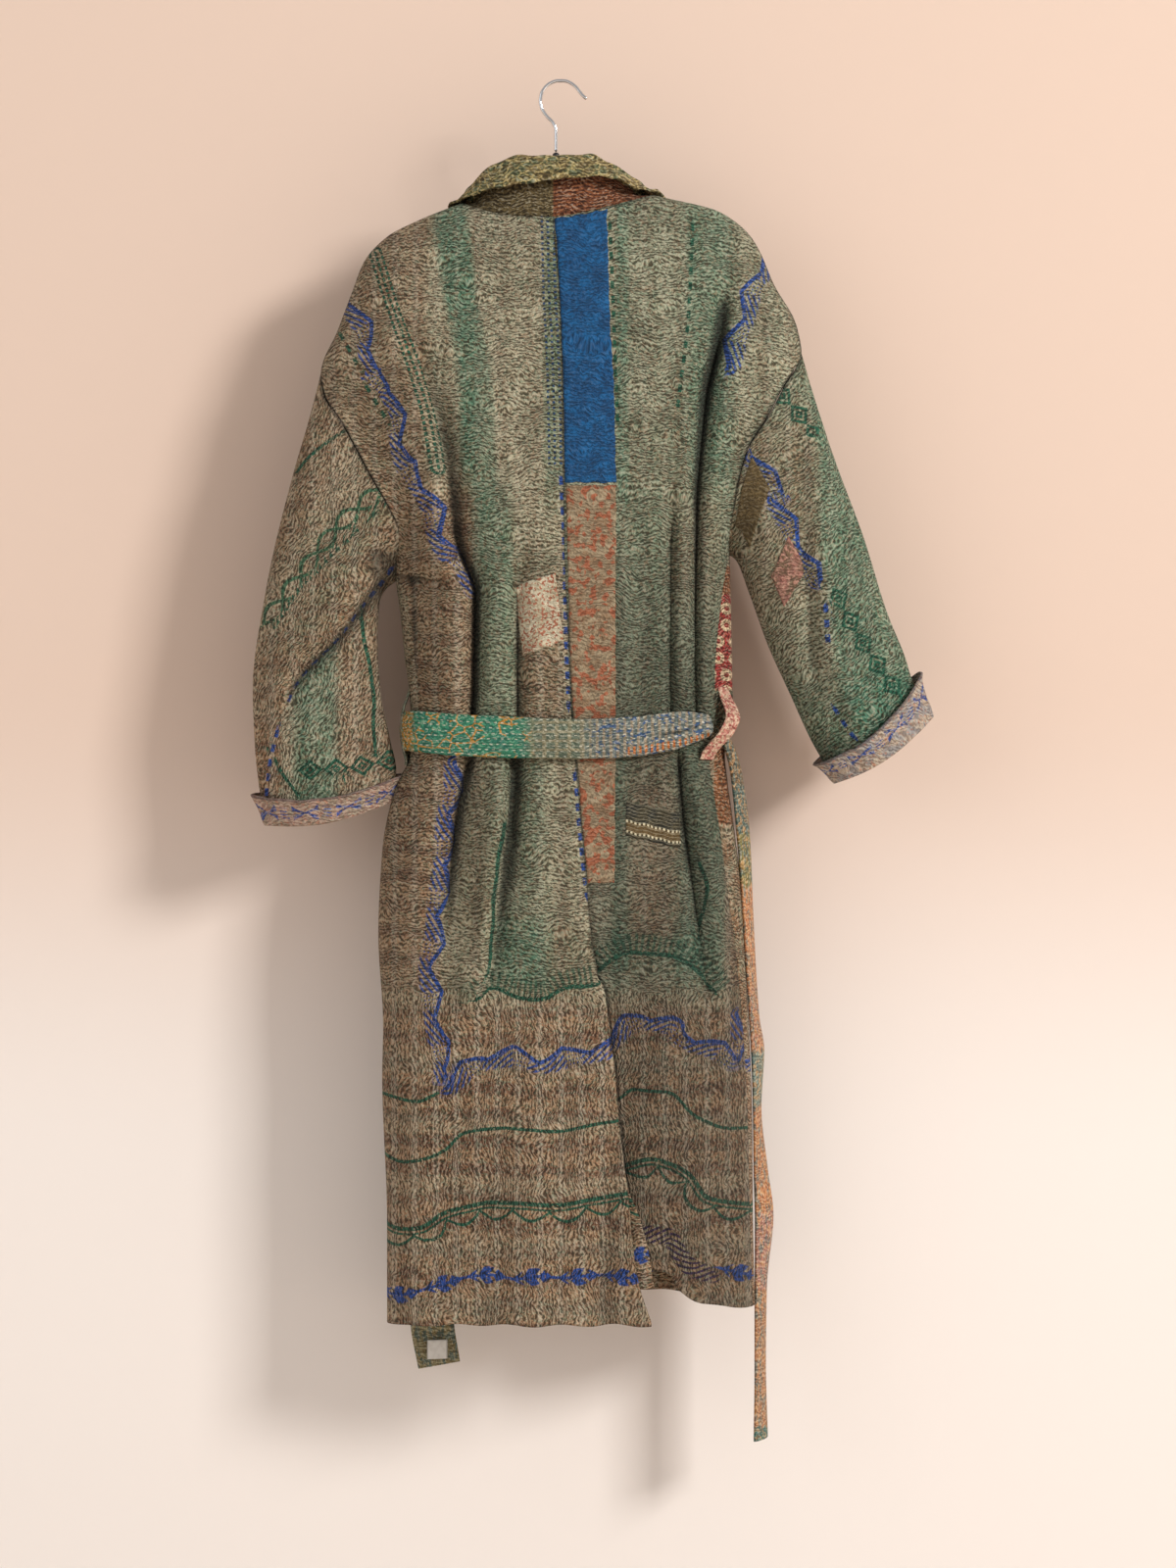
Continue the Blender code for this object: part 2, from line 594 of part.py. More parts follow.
# Shawl collar: roll line, free edge and facing directions by t, 0 at the middle of the back neck,
# 0.28 at the shoulder and 1 at the waist in front
ROLL = {
    "left": [(0, 566, 163, 38), (0.07, 534, 161.5, 36), (0.13, 507, 169, 29), (0.20, 484, 188, 13),
             (0.28, 475, 197.3, -5)],
    "right": [(0, 566, 163, 38), (0.07, 600, 160.5, 36), (0.13, 619, 167.5, 29), (0.20, 645, 181, 13),
              (0.28, 658, 189.2, -5)],
}
FREE = {
    "left": [(0, 566, 187, 50), (0.07, 531, 191, 48), (0.13, 506, 194, 42), (0.20, 480, 200, 26),
             (0.28, 461, 204.6, 3), (0.305, 455, 208, -20), (0.33, 452, 217, -30),
             (0.36, 450, 230, -38), (0.42, 449, 264, -50)],
    "right": [(0, 566, 187, 50), (0.07, 606, 183, 48), (0.13, 630, 185, 42), (0.20, 652, 193, 26),
              (0.28, 673, 191.4, 2), (0.305, 682, 195, -22), (0.33, 689, 206, -32),
              (0.36, 692, 221, -40), (0.42, 690, 262, -50)],
}
FRONT_ROW = [(0.33, 208), (0.45, 290), (0.6, 395), (0.8, 560), (1.0, 735)]
REVERS = [(0.33, 40), (0.45, 58), (0.6, 60), (0.8, 38), (1.0, 15)]


def table_point(table, t):
    """Metres of a (t, column, row, depth) table."""
    column = through([(k[0], k[1]) for k in table], t)
    row = through([(k[0], k[2]) for k in table], t)
    depth = through([(k[0], k[3]) for k in table], t)
    return place(column, row, depth)


def front_point(side, column, row, lift):
    """A point in front of the front panel at a column and row, lift metres off its outer surface."""
    angle = to_angle(share(side, column, row), True)
    return body(side, angle, row) + body_normal(side, angle, row) * lift


def before_front(side, p, lift):
    """The point p, moved forward where it would be less than lift metres in front of the front panel."""
    column = HOOK_COLUMN - p[0] * UNITS_PER_METRE
    row = HOOK_ROW - p[2] * UNITS_PER_METRE
    row = max(row, TOP[side] + 1.0)
    s = share(side, column, row)
    if s > 0.995 or (column - through(FRONT_EDGE[side], row)) * (1 if side == "left" else -1) > 0.0:
        return p
    surface = body(side, to_angle(s, True), row)[1]
    steep = max(abs(body_normal(side, to_angle(s, True), row)[1]), 0.4)
    return np.array([p[0], min(p[1], surface - lift / steep), p[2]])


def collar_section(side, t):
    """Nine points from the neck seam up the stand, over the roll and down to the free edge."""
    sign = 1.0 if side == "left" else -1.0
    toward = -1.0 if side == "left" else 1.0
    if t <= 0.28:
        angle = to_angle(min(t / 0.28, 1.0))
        seam = body(side, angle, TOP[side]) + np.array([0.0, 0.0, 0.0012])
        k = t / 0.28
        inward = unit(np.array([-sign * k, -(1.0 - k) - 0.05, 0.0]))
        seam = seam + inward * CLOTH
        up = unit(np.array([-sign * 0.25 * k, 0.0, 1.0]))
        out = -inward
        roll = table_point(ROLL[side], t)
        free = table_point(FREE[side], t)
        radius = 0.0055
    else:
        row = through(FRONT_ROW, max(t, 0.33)) + (TOP[side] - TOP["left"]) * (1.0 - ease((t - 0.33) / 0.2))
        edge = through(FRONT_EDGE[side], row)
        k = ease((t - 0.28) / 0.08)
        side_gap = 0.0012 + 0.0028 * (1.0 - ease((t - 0.33) / 0.1))
        front_seam = front_point(side, edge, row, 0.0) + np.array([-sign * side_gap, CLOTH * 0.6, 0.0])
        first = min((t - 0.28) / 0.05, 1.0)
        last_angle = to_angle(share(side, through(FRONT_EDGE[side], TOP[side]), TOP[side]), True)
        shoulder_seam = body(side, math.pi / 2 + (last_angle - math.pi / 2) * first, TOP[side])
        shoulder_seam = shoulder_seam + np.array([-sign * (CLOTH + 0.0014 * first), 0.0, 0.0026])
        seam = front_seam if t > 0.331 else shoulder_seam
        up = unit(np.array([-sign * (0.25 + 0.75 * k), 0.0, 1.0 - k + 0.12]))
        out = unit(np.array([sign * (1.0 - k), -k, 0.05]))
        reach = through([(0.28, 6.0), (0.36, 9.0), (1.0, 9.0)], t)
        front_roll = place(edge - toward * 0.0 + (reach if side == "left" else -reach), row, 0.0)
        front_roll[1] = front_seam[1] - 0.004
        shoulder_roll = table_point(ROLL[side], 0.28)
        roll = shoulder_roll * (1.0 - k) + front_roll * k
        width = through(REVERS, max(t, 0.33))
        column = edge - width if side == "left" else edge + width
        front_free = front_point(side, column, row, 0.0058)
        shoulder_free = table_point(FREE[side], min(t, 0.42))
        lower = ease((t - 0.37) / 0.08)
        free = shoulder_free * (1.0 - lower) + front_free * lower
        half_column = edge - 0.5 * width if side == "left" else edge + 0.5 * width
        front_half = front_point(side, half_column, row, 0.0074)
        radius = 0.0055 - 0.0015 * k
    centre = roll - up * radius
    arc = [centre + radius * (-out * math.cos(a) + up * math.sin(a)) for a in np.linspace(0.0, math.pi, 5)]
    half_way = (arc[-1] + free) * 0.5 + out * (0.0015 if t <= 0.28 else 0.0036)
    if t > 0.28:
        half_way = half_way * (1.0 - lower) + front_half * lower
        arc = arc[:3] + [before_front(side, q, 0.0073) for q in arc[3:]]
        half_way = before_front(side, half_way, 0.0073)
        free = before_front(side, free, 0.0056)
    return [seam, (seam + arc[0]) * 0.5] + arc + [half_way, free]


collar_steps = [0.0, 0.045, 0.09, 0.135, 0.18, 0.225, 0.28, 0.305, 0.33, 0.342, 0.365, 0.40, 0.44, 0.49, 0.56, 0.66, 0.77, 0.88,
                1.0]
collar_rows = [collar_section("left", t) for t in reversed(collar_steps)]
collar_rows += [collar_section("right", t) for t in collar_steps[1:]]
sheet("collar", collar_rows, MOSS, 0.0022)

# Belt across the back, from the right loop to the left side and a little way on to the front
BELT_TOP = [(414, 727), (425, 726), (475, 730), (520, 732), (591, 735), (645, 733), (690, 728), (715, 731),
            (727, 736)]
BELT_LOW = [(414, 764), (421, 765), (470, 771), (520, 773), (591, 774), (636, 772), (681, 765), (707, 755),
            (727, 745)]
BELT_ROW = 748.0


def waist_point(side, angle):
    """Point and level outward direction of the body at belt height, without its folds."""
    near = body(side, angle - 0.04, BELT_ROW, False)
    far = body(side, angle + 0.04, BELT_ROW, False)
    along = far - near
    out = np.array([along[1], -along[0], 0.0])
    if side == "left":
        out = -out
    return body(side, angle, BELT_ROW, False), unit(out)


belt_points = []
belt_stations = [("right", s) for s in (0.845, 0.78, 0.70, 0.60, 0.48, 0.34, 0.18)]
belt_stations += [("left", s) for s in (0.0, 0.2, 0.4, 0.56, 0.70, 0.82, 0.92, 0.98)]
belt_angles = [(name, to_angle(s)) for name, s in belt_stations]
belt_angles += [("left", math.pi / 2 + a) for a in (0.0, 0.12, 0.3, 0.5, 0.68)]
for name, angle in belt_angles:
    point, out = waist_point(name, angle)
    column = HOOK_COLUMN - point[0] * UNITS_PER_METRE
    top_row = through(BELT_TOP, column) if math.cos(angle) > 0 else 727.0
    low_row = through(BELT_LOW, column) if math.cos(angle) > 0 else 765.0
    half = (low_row - top_row) / 2.0 / UNITS_PER_METRE
    bulge = math.sqrt(max(0.0182 ** 2 - half * half, 0.0)) * 0.5
    line = []
    for w in (-1.0, -0.6, 0.0, 0.6, 1.0):
        z = (HOOK_ROW - (top_row + low_row) / 2.0) / UNITS_PER_METRE - w * half
        spot = point + out * (BELT_LIFT + 0.0015 * (1.0 - w * w) + bulge * (1.0 - w * w))
        line.append(np.array([spot[0], spot[1], z]))
    belt_points.append(line)
sheet("belt", belt_points, TEAL, BELT_CLOTH, offset=1.0)

# Right tail of the belt, from the loop to its free end: row, two edges as (column, depth)
TAIL_RIGHT = [(752, 736, 26, 744, 13), (768, 742, 20, 752, -5), (790, 747, 15, 758, -16),
              (850, 753, 13, 766, -21), (930, 759, 13, 769.5, -22), (1040, 766, 12, 776, -23),
              (1075, 768, 11, 781, -22), (1130, 770, 11, 778, -25), (1200, 771, 11, 785, -22),
              (1245, 772, 10, 790.5, -20), (1320, 772, 9, 784, -26), (1400, 772, 8, 783, -26),
              (1475, 771, 8, 785, -26)]
tail_points = []
for tail_row in (752, 768, 790, 820, 860, 900, 950, 1000, 1040, 1075, 1110, 1150, 1200, 1245, 1285, 1330,
                 1380, 1430, 1475):
    edges = [through([(k[0], k[i]) for k in TAIL_RIGHT], tail_row) for i in (1, 2, 3, 4)]
    a = place(edges[0], tail_row, edges[1])
    b = place(edges[2], tail_row, edges[3])
    side_step = unit(np.cross(b - a, np.array([0.0, 0.0, 1.0])))
    if side_step[0] > 0.0:
        side_step = -side_step
    middle = (a + b) * 0.5 + side_step * 0.002
    tail_points.append([a, middle, b])
sheet("belt_tail_right", tail_points, RUST, 0.0024, offset=0.0)

# Left tail of the belt, hanging down the left front, its corner laid over the belt's end
tail_points = []
LEFT_TAIL_MIDDLE = [(727, 447), (748, 447), (850, 438), (1000, 438), (1200, 440), (1355, 440), (1407, 447)]
for k, tail_row in enumerate((748, 790, 840, 900, 970, 1050, 1130, 1210, 1290, 1340, 1375, 1406)):
    line = []
    for w in (-1.0, 0.0, 1.0):
        row = float(tail_row)
        if k == 0:
            row += 19.0 * w
        column = through(LEFT_TAIL_MIDDLE, row) + 21.0 * w
        held_row = min(row, 1338.0)
        lift = 0.0165 - 0.0110 * ease((row - 780.0) / 60.0)
        p = front_point("left", column, held_row, lift)
        if row > 1338.0:
            p = np.array([p[0], p[1], (HOOK_ROW - row + 3.0 * w) / UNITS_PER_METRE])
        line.append(p)
    tail_points.append(line)
sheet("belt_tail_left", tail_points, BROWN, 0.0026, offset=0.0)
label_points = []
for row in (1379.0, 1389.0, 1399.0):
    line = []
    for column in (434.0, 444.5, 455.0):
        w = (column - 443.5) / 21.0
        p = front_point("left", column, 1338.0, 0.0055)
        line.append(np.array([p[0], p[1] + 0.0040, (HOOK_ROW - row) / UNITS_PER_METRE]))
    label_points.append(line)
sheet("belt_label", label_points, CREAM, 0.0006, offset=0.0)

# Belt loops: a strip from the side seam over the belt and back to the cloth
def loop_strip(name, side, path, width, colour):
    """Strip through (share round the body, row, distance off it in mm) points, its width along the cloth."""
    points = []
    for angle, row, off in path:
        line = []
        for w in (-1.0, 0.0, 1.0):
            spread = w * width
            a = angle + spread
            p = body(side, a, row)
            base, out = waist_point(side, a)
            line.append(p + out * off * 0.001)
        points.append(line)
    sheet(name, points, colour, 0.0016, offset=0.0)


loop_strip("belt_loop_left", "left",
           [(1.55, 703.0, 2.4), (1.55, 712.0, 5.5), (1.55, 722.0, 9.5), (1.55, 735.0, 11.8),
            (1.55, 750.0, 12.2), (1.55, 764.0, 10.0), (1.55, 773.0, 7.0), (1.55, 781.0, 4.2)],
           0.10, TEAL)
loop_strip("belt_loop_right", "right",
           [(1.23, 701.0, 1.8), (1.22, 712.0, 7.0), (1.21, 724.0, 14.0), (1.18, 736.0, 19.0),
            (1.14, 748.0, 20.0), (1.10, 758.0, 15.0), (1.07, 767.0, 9.0), (1.06, 775.0, 4.2)],
           0.085, PINK)


# Patches, sewn on the outer cloth of a back: rows and the columns of both edges at each row
def back_patch(name, side, rows, left_edge, right_edge, columns, colour, tilt=0.0):
    """A thin sheet that follows the panel, PATCH_LIFT above it."""
    outer = []
    inner = []
    for row in rows:
        line_out = []
        line_in = []
        for f in np.linspace(0.0, 1.0, columns):
            column = through(left_edge, row) * (1.0 - f) + through(right_edge, row) * f
            own_row = row + tilt * (f - 0.5)
            angle = to_angle(share(side, column, own_row))
            p = body(side, angle, own_row)
            n = body_normal(side, angle, own_row)
            line_out.append(p + n * (PATCH_LIFT + PATCH_CLOTH))
            line_in.append(p + n * PATCH_LIFT)
        outer.append(line_out)
        inner.append(line_in)
    return wall(name, outer, inner, colour)


back_patch("patch_blue", "right", (212, 222, 240, 262, 292, 330, 358, 400, 450, 494),
           [(212, 566.5), (290, 571), (400, 575.5), (494, 577)],
           [(212, 619), (260, 620), (330, 622), (400, 626), (494, 628)], 4, BLUE)
back_patch("patch_paisley", "right", (497, 530, 560, 600, 655, 708, 748, 788, 838, 900),
           [(497, 578), (650, 582), (720, 585), (800, 591), (900, 600.5)],
           [(497, 628), (730, 628), (900, 627)], 4, RUST)
back_patch("patch_white", "left", (593, 612, 636, 662),
           [(593, 527), (662, 536)], [(593, 567), (662, 574.5)], 4, CREAM, tilt=-14.0)
back_patch("patch_dark", "right", (824, 838, 859), [(824, 638), (859, 638)], [(824, 690), (859, 692)], 5,
           DARK, tilt=12.0)


def sleeve_patch(name, side, turns, steps, colour):
    """A thin sheet on a sleeve between two turns and two places along it."""
    outer = []
    inner = []
    for v in steps:
        line_out = []
        line_in = []
        for turn in turns:
            p = sleeve(side, turn, v)
            n = sleeve_normal(side, turn, v)
            line_out.append(p + n * (PATCH_LIFT * 1.9 + PATCH_CLOTH))
            line_in.append(p + n * PATCH_LIFT * 1.9)
        outer.append(line_out)
        inner.append(line_in)
    return wall(name, outer, inner, colour)


sleeve_patch("patch_brown", "right", (0.5, 0.5625, 0.625, 0.75), (0.03, 0.06, 0.10, 0.14), BROWN)
sleeve_patch("patch_pink", "right", (0.53, 0.625, 0.70), (0.27, 0.30, 0.36, 0.38), PINK)

# Hanger: chrome hook, black neck with a ball, and two arms inside the shoulders
HOOK_PATH = [(567, 150), (567, 138), (567, 128), (564, 120), (557.5, 113), (552.5, 105), (551, 98), (552, 90.5),
             (556, 83.5), (562, 78.8), (569, 76.7), (576, 76.8), (582.5, 79.2), (588, 83.6), (592.5, 89.5),
             (596, 93.2), (599, 95.5)]


def tube(name, path, radii, colour, ring=12, squash=1.0):
    """A closed round bar through points of a path in the hanger's plane, with a radius at each."""
    bm = bmesh.new()
    rings = []
    for i, p in enumerate(path):
        before = path[max(i - 1, 0)]
        after = path[min(i + 1, len(path) - 1)]
        along = unit(after - before)
        flat = unit(np.cross(along, np.array([0.0, 1.0, 0.0])))
        ring_verts = []
        for j in range(ring):
            a = 2.0 * math.pi * j / ring
            q = p + radii[i] * (flat * math.cos(a) + np.array([0.0, 1.0, 0.0]) * math.sin(a) * squash)
            ring_verts.append(bm.verts.new(q))
        rings.append(ring_verts)
    for i in range(len(rings) - 1):
        for j in range(ring):
            k = (j + 1) % ring
            bm.faces.new((rings[i][j], rings[i][k], rings[i + 1][k], rings[i + 1][j]))
    bm.faces.new(rings[0])
    bm.faces.new(rings[-1])
    ob = finish(name, bm, colour)
    return ob


hook_points = [place(c, r, 0.0) for c, r in HOOK_PATH]
tube("hanger_hook", hook_points, [WIRE / 2.0] * len(hook_points), CHROME, ring=10)
neck_points = [place(567, r, 0.0) for r in (150.4, 152.5, 155.5, 157.5, 160.0, 162.5, 164.6, 166.4)]
tube("hanger_neck", neck_points, [0.0030, 0.0034, 0.0034, 0.0040, 0.0044, 0.0040, 0.0046, 0.0046], BLACK,
     ring=12)
ARM_PATH = [(394, 262), (402, 252), (425, 239), (455, 227), (490, 213), (525, 196), (550, 179), (567, 172.5),
            (584, 178), (610, 192), (645, 205), (690, 219), (725, 231), (750, 243), (760, 254)]
arm_points = [place(c, r, 0.0) for c, r in ARM_PATH]
arm_radii = [0.0035] + [0.0050] * (len(arm_points) - 2) + [0.0035]
tube("hanger_arms", arm_points, arm_radii, BLACK, ring=10, squash=0.9)
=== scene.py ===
# %% [markdown]
# # A quilted patchwork robe coat on a hanger
#
# The coat hangs open on a chrome hook and is seen from the back. Its body is a ring of cloth, its
# sleeves are two tubes and its collar is a roll, each written as a formula of two parameters and
# sampled on a grid. Folds are soft ridges and troughs laid along drawn lines.
#
# Positions are counted in units of 1/1080 m, as columns (towards the wearer's right) and rows
# (down). Depths are in millimetres, positive towards the back of the coat.

import math

import bpy
import numpy as np
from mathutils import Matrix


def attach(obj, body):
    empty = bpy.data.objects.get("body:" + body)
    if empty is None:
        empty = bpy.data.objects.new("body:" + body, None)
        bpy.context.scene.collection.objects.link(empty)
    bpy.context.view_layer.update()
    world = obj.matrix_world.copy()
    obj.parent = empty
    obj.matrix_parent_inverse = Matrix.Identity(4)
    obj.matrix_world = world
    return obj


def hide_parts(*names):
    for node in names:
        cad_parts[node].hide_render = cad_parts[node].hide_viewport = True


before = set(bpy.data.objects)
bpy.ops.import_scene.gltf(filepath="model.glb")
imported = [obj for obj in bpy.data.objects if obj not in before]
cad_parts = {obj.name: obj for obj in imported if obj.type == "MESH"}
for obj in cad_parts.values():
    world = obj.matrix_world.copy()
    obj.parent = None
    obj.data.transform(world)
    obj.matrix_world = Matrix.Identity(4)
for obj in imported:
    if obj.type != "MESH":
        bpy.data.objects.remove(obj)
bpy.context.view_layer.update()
print("nodes in the frame:", len(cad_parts))

# %% Sizes
UNITS = 1080.0
HOOK_COLUMN = 572.0
HOOK_ROW = 78.5
CLOTH = 0.0025
ARM_DEPTH = 34.0
PATCH_LIFT = 0.0009
PATCH_CLOTH = 0.0010
BELT_LIFT = 0.0075
BELT_ROW = 748.0
FOOT_ROW = 1010.0
TURN = 2.0 * math.pi
print("one unit is", round(1000.0 / UNITS, 3), "mm")

# %% [markdown]
# ## Lines and grids
# Folds, seams and stitched borders all follow lines over the cloth. They could be sculpted by hand,
# but a table of knots is shorter and can be corrected. `line` reads a table softly; `near` gives
# the distance along and across a drawn line for every point of a panel, so that one line can raise
# a fold or place a border.

# %% Helpers for lines
def place(column, row, depth):
    """Metres: x = (572 - column) / 1080, y = depth / 1000, z = (78.5 - row) / 1080."""
    column, row, depth = np.broadcast_arrays(column, row, depth)
    return np.stack([(HOOK_COLUMN - column) / UNITS, depth * 0.001, (HOOK_ROW - row) / UNITS], axis=-1)


def seen(points):
    """Column and row of points in metres, the reverse of place."""
    return HOOK_COLUMN - points[..., 0] * UNITS, HOOK_ROW - points[..., 2] * UNITS


def line(knots, at):
    """Monotone cubic through (position, value) knots, read at an array of positions."""
    x, y = np.array(knots, float).T
    h = np.diff(x)
    d = np.diff(y) / h
    m = np.empty(len(x))
    m[0], m[-1] = d[0], d[-1]
    product = d[:-1] * d[1:]
    m[1:-1] = np.where(product > 0.0, 2.0 * product / np.where(product > 0.0, d[:-1] + d[1:], 1.0), 0.0)
    at = np.clip(at, x[0], x[-1])
    i = np.clip(np.searchsorted(x, at) - 1, 0, len(h) - 1)
    s = (at - x[i]) / h[i]
    first = (1.0 + 2.0 * s) * (1.0 - s) ** 2 * y[i] + s * (1.0 - s) ** 2 * h[i] * m[i]
    return first + s * s * (3.0 - 2.0 * s) * y[i + 1] + s * s * (s - 1.0) * h[i] * m[i + 1]


def ease(t):
    """3 t^2 - 2 t^3, held at 0 below 0 and at 1 above 1."""
    t = np.clip(t, 0.0, 1.0)
    return t * t * (3.0 - 2.0 * t)


def window(x, low, high, soft):
    """1 between low and high, 0 outside, with edges that are soft units wide."""
    return ease((x - low) / soft + 0.5) * (1.0 - ease((x - high) / soft + 0.5))


def near(points, column, row, steps=48):
    """Distance along and signed distance across a drawn line of (column, row) points."""
    p = np.array(points, float)
    t = np.concatenate([[0.0], np.cumsum(np.hypot(*np.diff(p, axis=0).T))])
    at = np.linspace(0.0, t[-1], steps)
    x = line(np.stack([t, p[:, 0]], 1), at)
    y = line(np.stack([t, p[:, 1]], 1), at)
    best = np.full(np.shape(column), 1e9)
    along = np.zeros_like(best)
    across = np.zeros_like(best)
    for k in range(steps - 1):
        dx, dy = x[k + 1] - x[k], y[k + 1] - y[k]
        size = math.hypot(dx, dy)
        rx, ry = column - x[k], row - y[k]
        f = np.clip((rx * dx + ry * dy) / size ** 2, 0.0, 1.0)
        distance = np.hypot(rx - f * dx, ry - f * dy)
        closer = distance < best
        best = np.where(closer, distance, best)
        along = np.where(closer, at[k] + f * size, along)
        across = np.where(closer, np.sign(dx * ry - dy * rx) * distance, across)
    return along, across, t[-1]


def creases(table, column, row):
    """Sum in mm of ridges and troughs: height(along) * exp(-(across / width)^2), a width for each side."""
    total = np.zeros(np.shape(column))
    for points, width_one, width_two, height in table:
        along, across, size = near(points, column, row, 32)
        width = np.where(across > 0.0, width_one, width_two)
        total = total + line(height, along / size) * np.exp(-(across / width) ** 2)
    return total


print("line at 0.5:", float(line([(0, 0), (1, 2)], 0.5)))

# %% [markdown]
# ## The drawn outlines and folds
# The coat's silhouette, its hem, the vent and the depth of its back and front are tables of knots.
# The main folds are tables too: wide ones as a path, a half width and a height down the coat, and
# narrow ones with a width for each side, because a real crease has one steep and one gentle side.

# %% Outlines of the coat (row, column)
MIDDLE = [(160, 565), (225, 565), (290, 570), (330, 572), (400, 574), (480, 575), (560, 576), (650, 580),
          (720, 583), (800, 589), (882, 597), (963, 604), (994, 609), (1100, 608), (1360, 600)]
SIDE = {
    "left": [(206, 470), (222, 430), (240, 395), (265, 372), (295, 360), (335, 345), (378, 328), (399, 330),
             (435, 351), (486, 378), (514, 394), (544, 406), (583, 405), (626, 410), (676, 415), (706, 419),
             (748, 421), (773, 419.5), (802, 405), (870, 391), (955, 387), (1050, 392), (1100, 391),
             (1250, 396), (1352, 396)],
    "right": [(198, 668), (215, 735), (243, 768), (290, 790), (330, 812), (358, 817), (397, 798),
              (424, 784), (459, 763), (491, 754), (520, 749), (560, 743), (606, 744), (703, 746),
              (730, 747), (750, 742), (770, 738), (800, 741), (850, 748), (900, 754), (1000, 760),
              (1075, 764), (1140, 766), (1250, 767), (1340, 769)],
}
TOP = {"left": 206.0, "right": 198.0}
TIP = {"left": 378.0, "right": 358.0}
UNDERARM = {"left": 583.0, "right": 560.0}
HEM = {"left": 1346.0, "right": 1334.0}
SIDE_SEAM = {
    "left": [(583, 1.0), (605, 0.95), (700, 0.94), (780, 0.97), (860, 1.0), (1360, 1.0)],
    "right": [(560, 1.0), (606, 0.945), (703, 0.885), (750, 0.885), (800, 0.895), (892, 0.90), (984, 0.94),
              (1120, 0.965), (1340, 0.985)],
}
VENT_TOP = 994.0
VENT = {
    "left": [(994, 609), (1006, 616), (1045, 621), (1090, 627), (1147, 632), (1208, 640), (1294, 649.5),
             (1342, 664)],
    "right": [(994, 609), (1100, 613), (1208, 629), (1250, 641), (1289, 658), (1334, 662)],
}
FRONT_EDGE = {
    "left": [(206, 484), (260, 500), (350, 522), (450, 545), (560, 562), (650, 566), (1350, 566)],
    "right": [(198, 648), (260, 634), (350, 616), (450, 598), (560, 586), (650, 582), (1340, 582)],
}
BACK_DEPTH = [(160, 40), (200, 41), (224, 44), (265, 50), (350, 58), (480, 62), (600, 60), (718, 53),
              (748, 51), (780, 51.6), (820, 59), (900, 66), (1050, 72), (1350, 76)]
FRONT_DEPTH = [(160, 26), (200, 28), (265, 37), (350, 50), (480, 58), (600, 58), (718, 52), (748, 50),
               (778, 51), (850, 58), (1050, 68), (1350, 72)]
print("rows from shoulder to hem:", HEM["left"] - TOP["left"], HEM["right"] - TOP["right"])

# %% Wide folds of the backs: path (row, column), half width, height (row, mm)
FOLDS = {
    "left": [
        ([(300, 385), (390, 412), (480, 432), (560, 440), (600, 456), (700, 455), (775, 446), (840, 432),
          (950, 424), (1100, 430)], 20.0,
         [(300, 0), (390, 7), (480, 9), (600, 10), (700, 9), (775, 9), (900, 6), (1050, 2), (1150, 0)]),
        ([(343, 432), (390, 441), (448, 457), (480, 463), (560, 470), (600, 486), (700, 484), (775, 478),
          (841, 467), (950, 457)], 11.0,
         [(343, 0), (400, -5), (480, -7), (600, -11), (700, -9), (775, -8), (850, -6), (950, -3),
          (1050, 0)]),
        ([(520, 505), (730, 506), (775, 508), (850, 503), (950, 492), (1050, 470), (1150, 455)], 15.0,
         [(520, 0), (600, 5), (700, 6), (775, 8), (900, 7), (1000, 5), (1100, 3), (1200, 0)]),
        ([(560, 529), (775, 527), (860, 524), (950, 515), (1040, 490)], 11.0,
         [(560, 0), (600, -5), (730, -6), (775, -8), (860, -7), (950, -3), (1040, 0)]),
        ([(585, 424), (710, 429)], 8.0, [(585, 0), (610, -5), (690, -5), (720, 0)]),
    ],
    "right": [
        ([(300, 740), (330, 736), (367, 728), (404, 720), (459, 714), (515, 709.5), (740, 709)], 9.0,
         [(290, 0), (325, -13), (370, -16), (450, -12), (620, -10), (730, -8), (755, 0)]),
        ([(330, 760), (404, 748), (460, 738), (530, 728), (600, 722), (740, 718)], 10.0,
         [(330, 0), (404, 4), (500, 7), (700, 8), (735, 6), (760, 0)]),
        ([(450, 696), (560, 698), (740, 699)], 10.0, [(420, 0), (500, 4), (600, 6), (735, 6), (757, 0)]),
        ([(500, 682), (740, 684)], 8.0, [(480, 0), (560, -4), (735, -5), (750, 0)]),
        ([(760, 694), (830, 697), (900, 706), (1000, 718)], 9.0,
         [(755, 0), (775, -6), (830, -7), (900, -4), (1000, -1), (1040, 0)]),
        ([(765, 709), (800, 713), (882, 723), (943, 732), (1004, 737), (1100, 742)], 11.0,
         [(755, 0), (770, 6), (800, 8), (900, 8), (1000, 6), (1100, 3), (1200, 0)]),
    ],
}
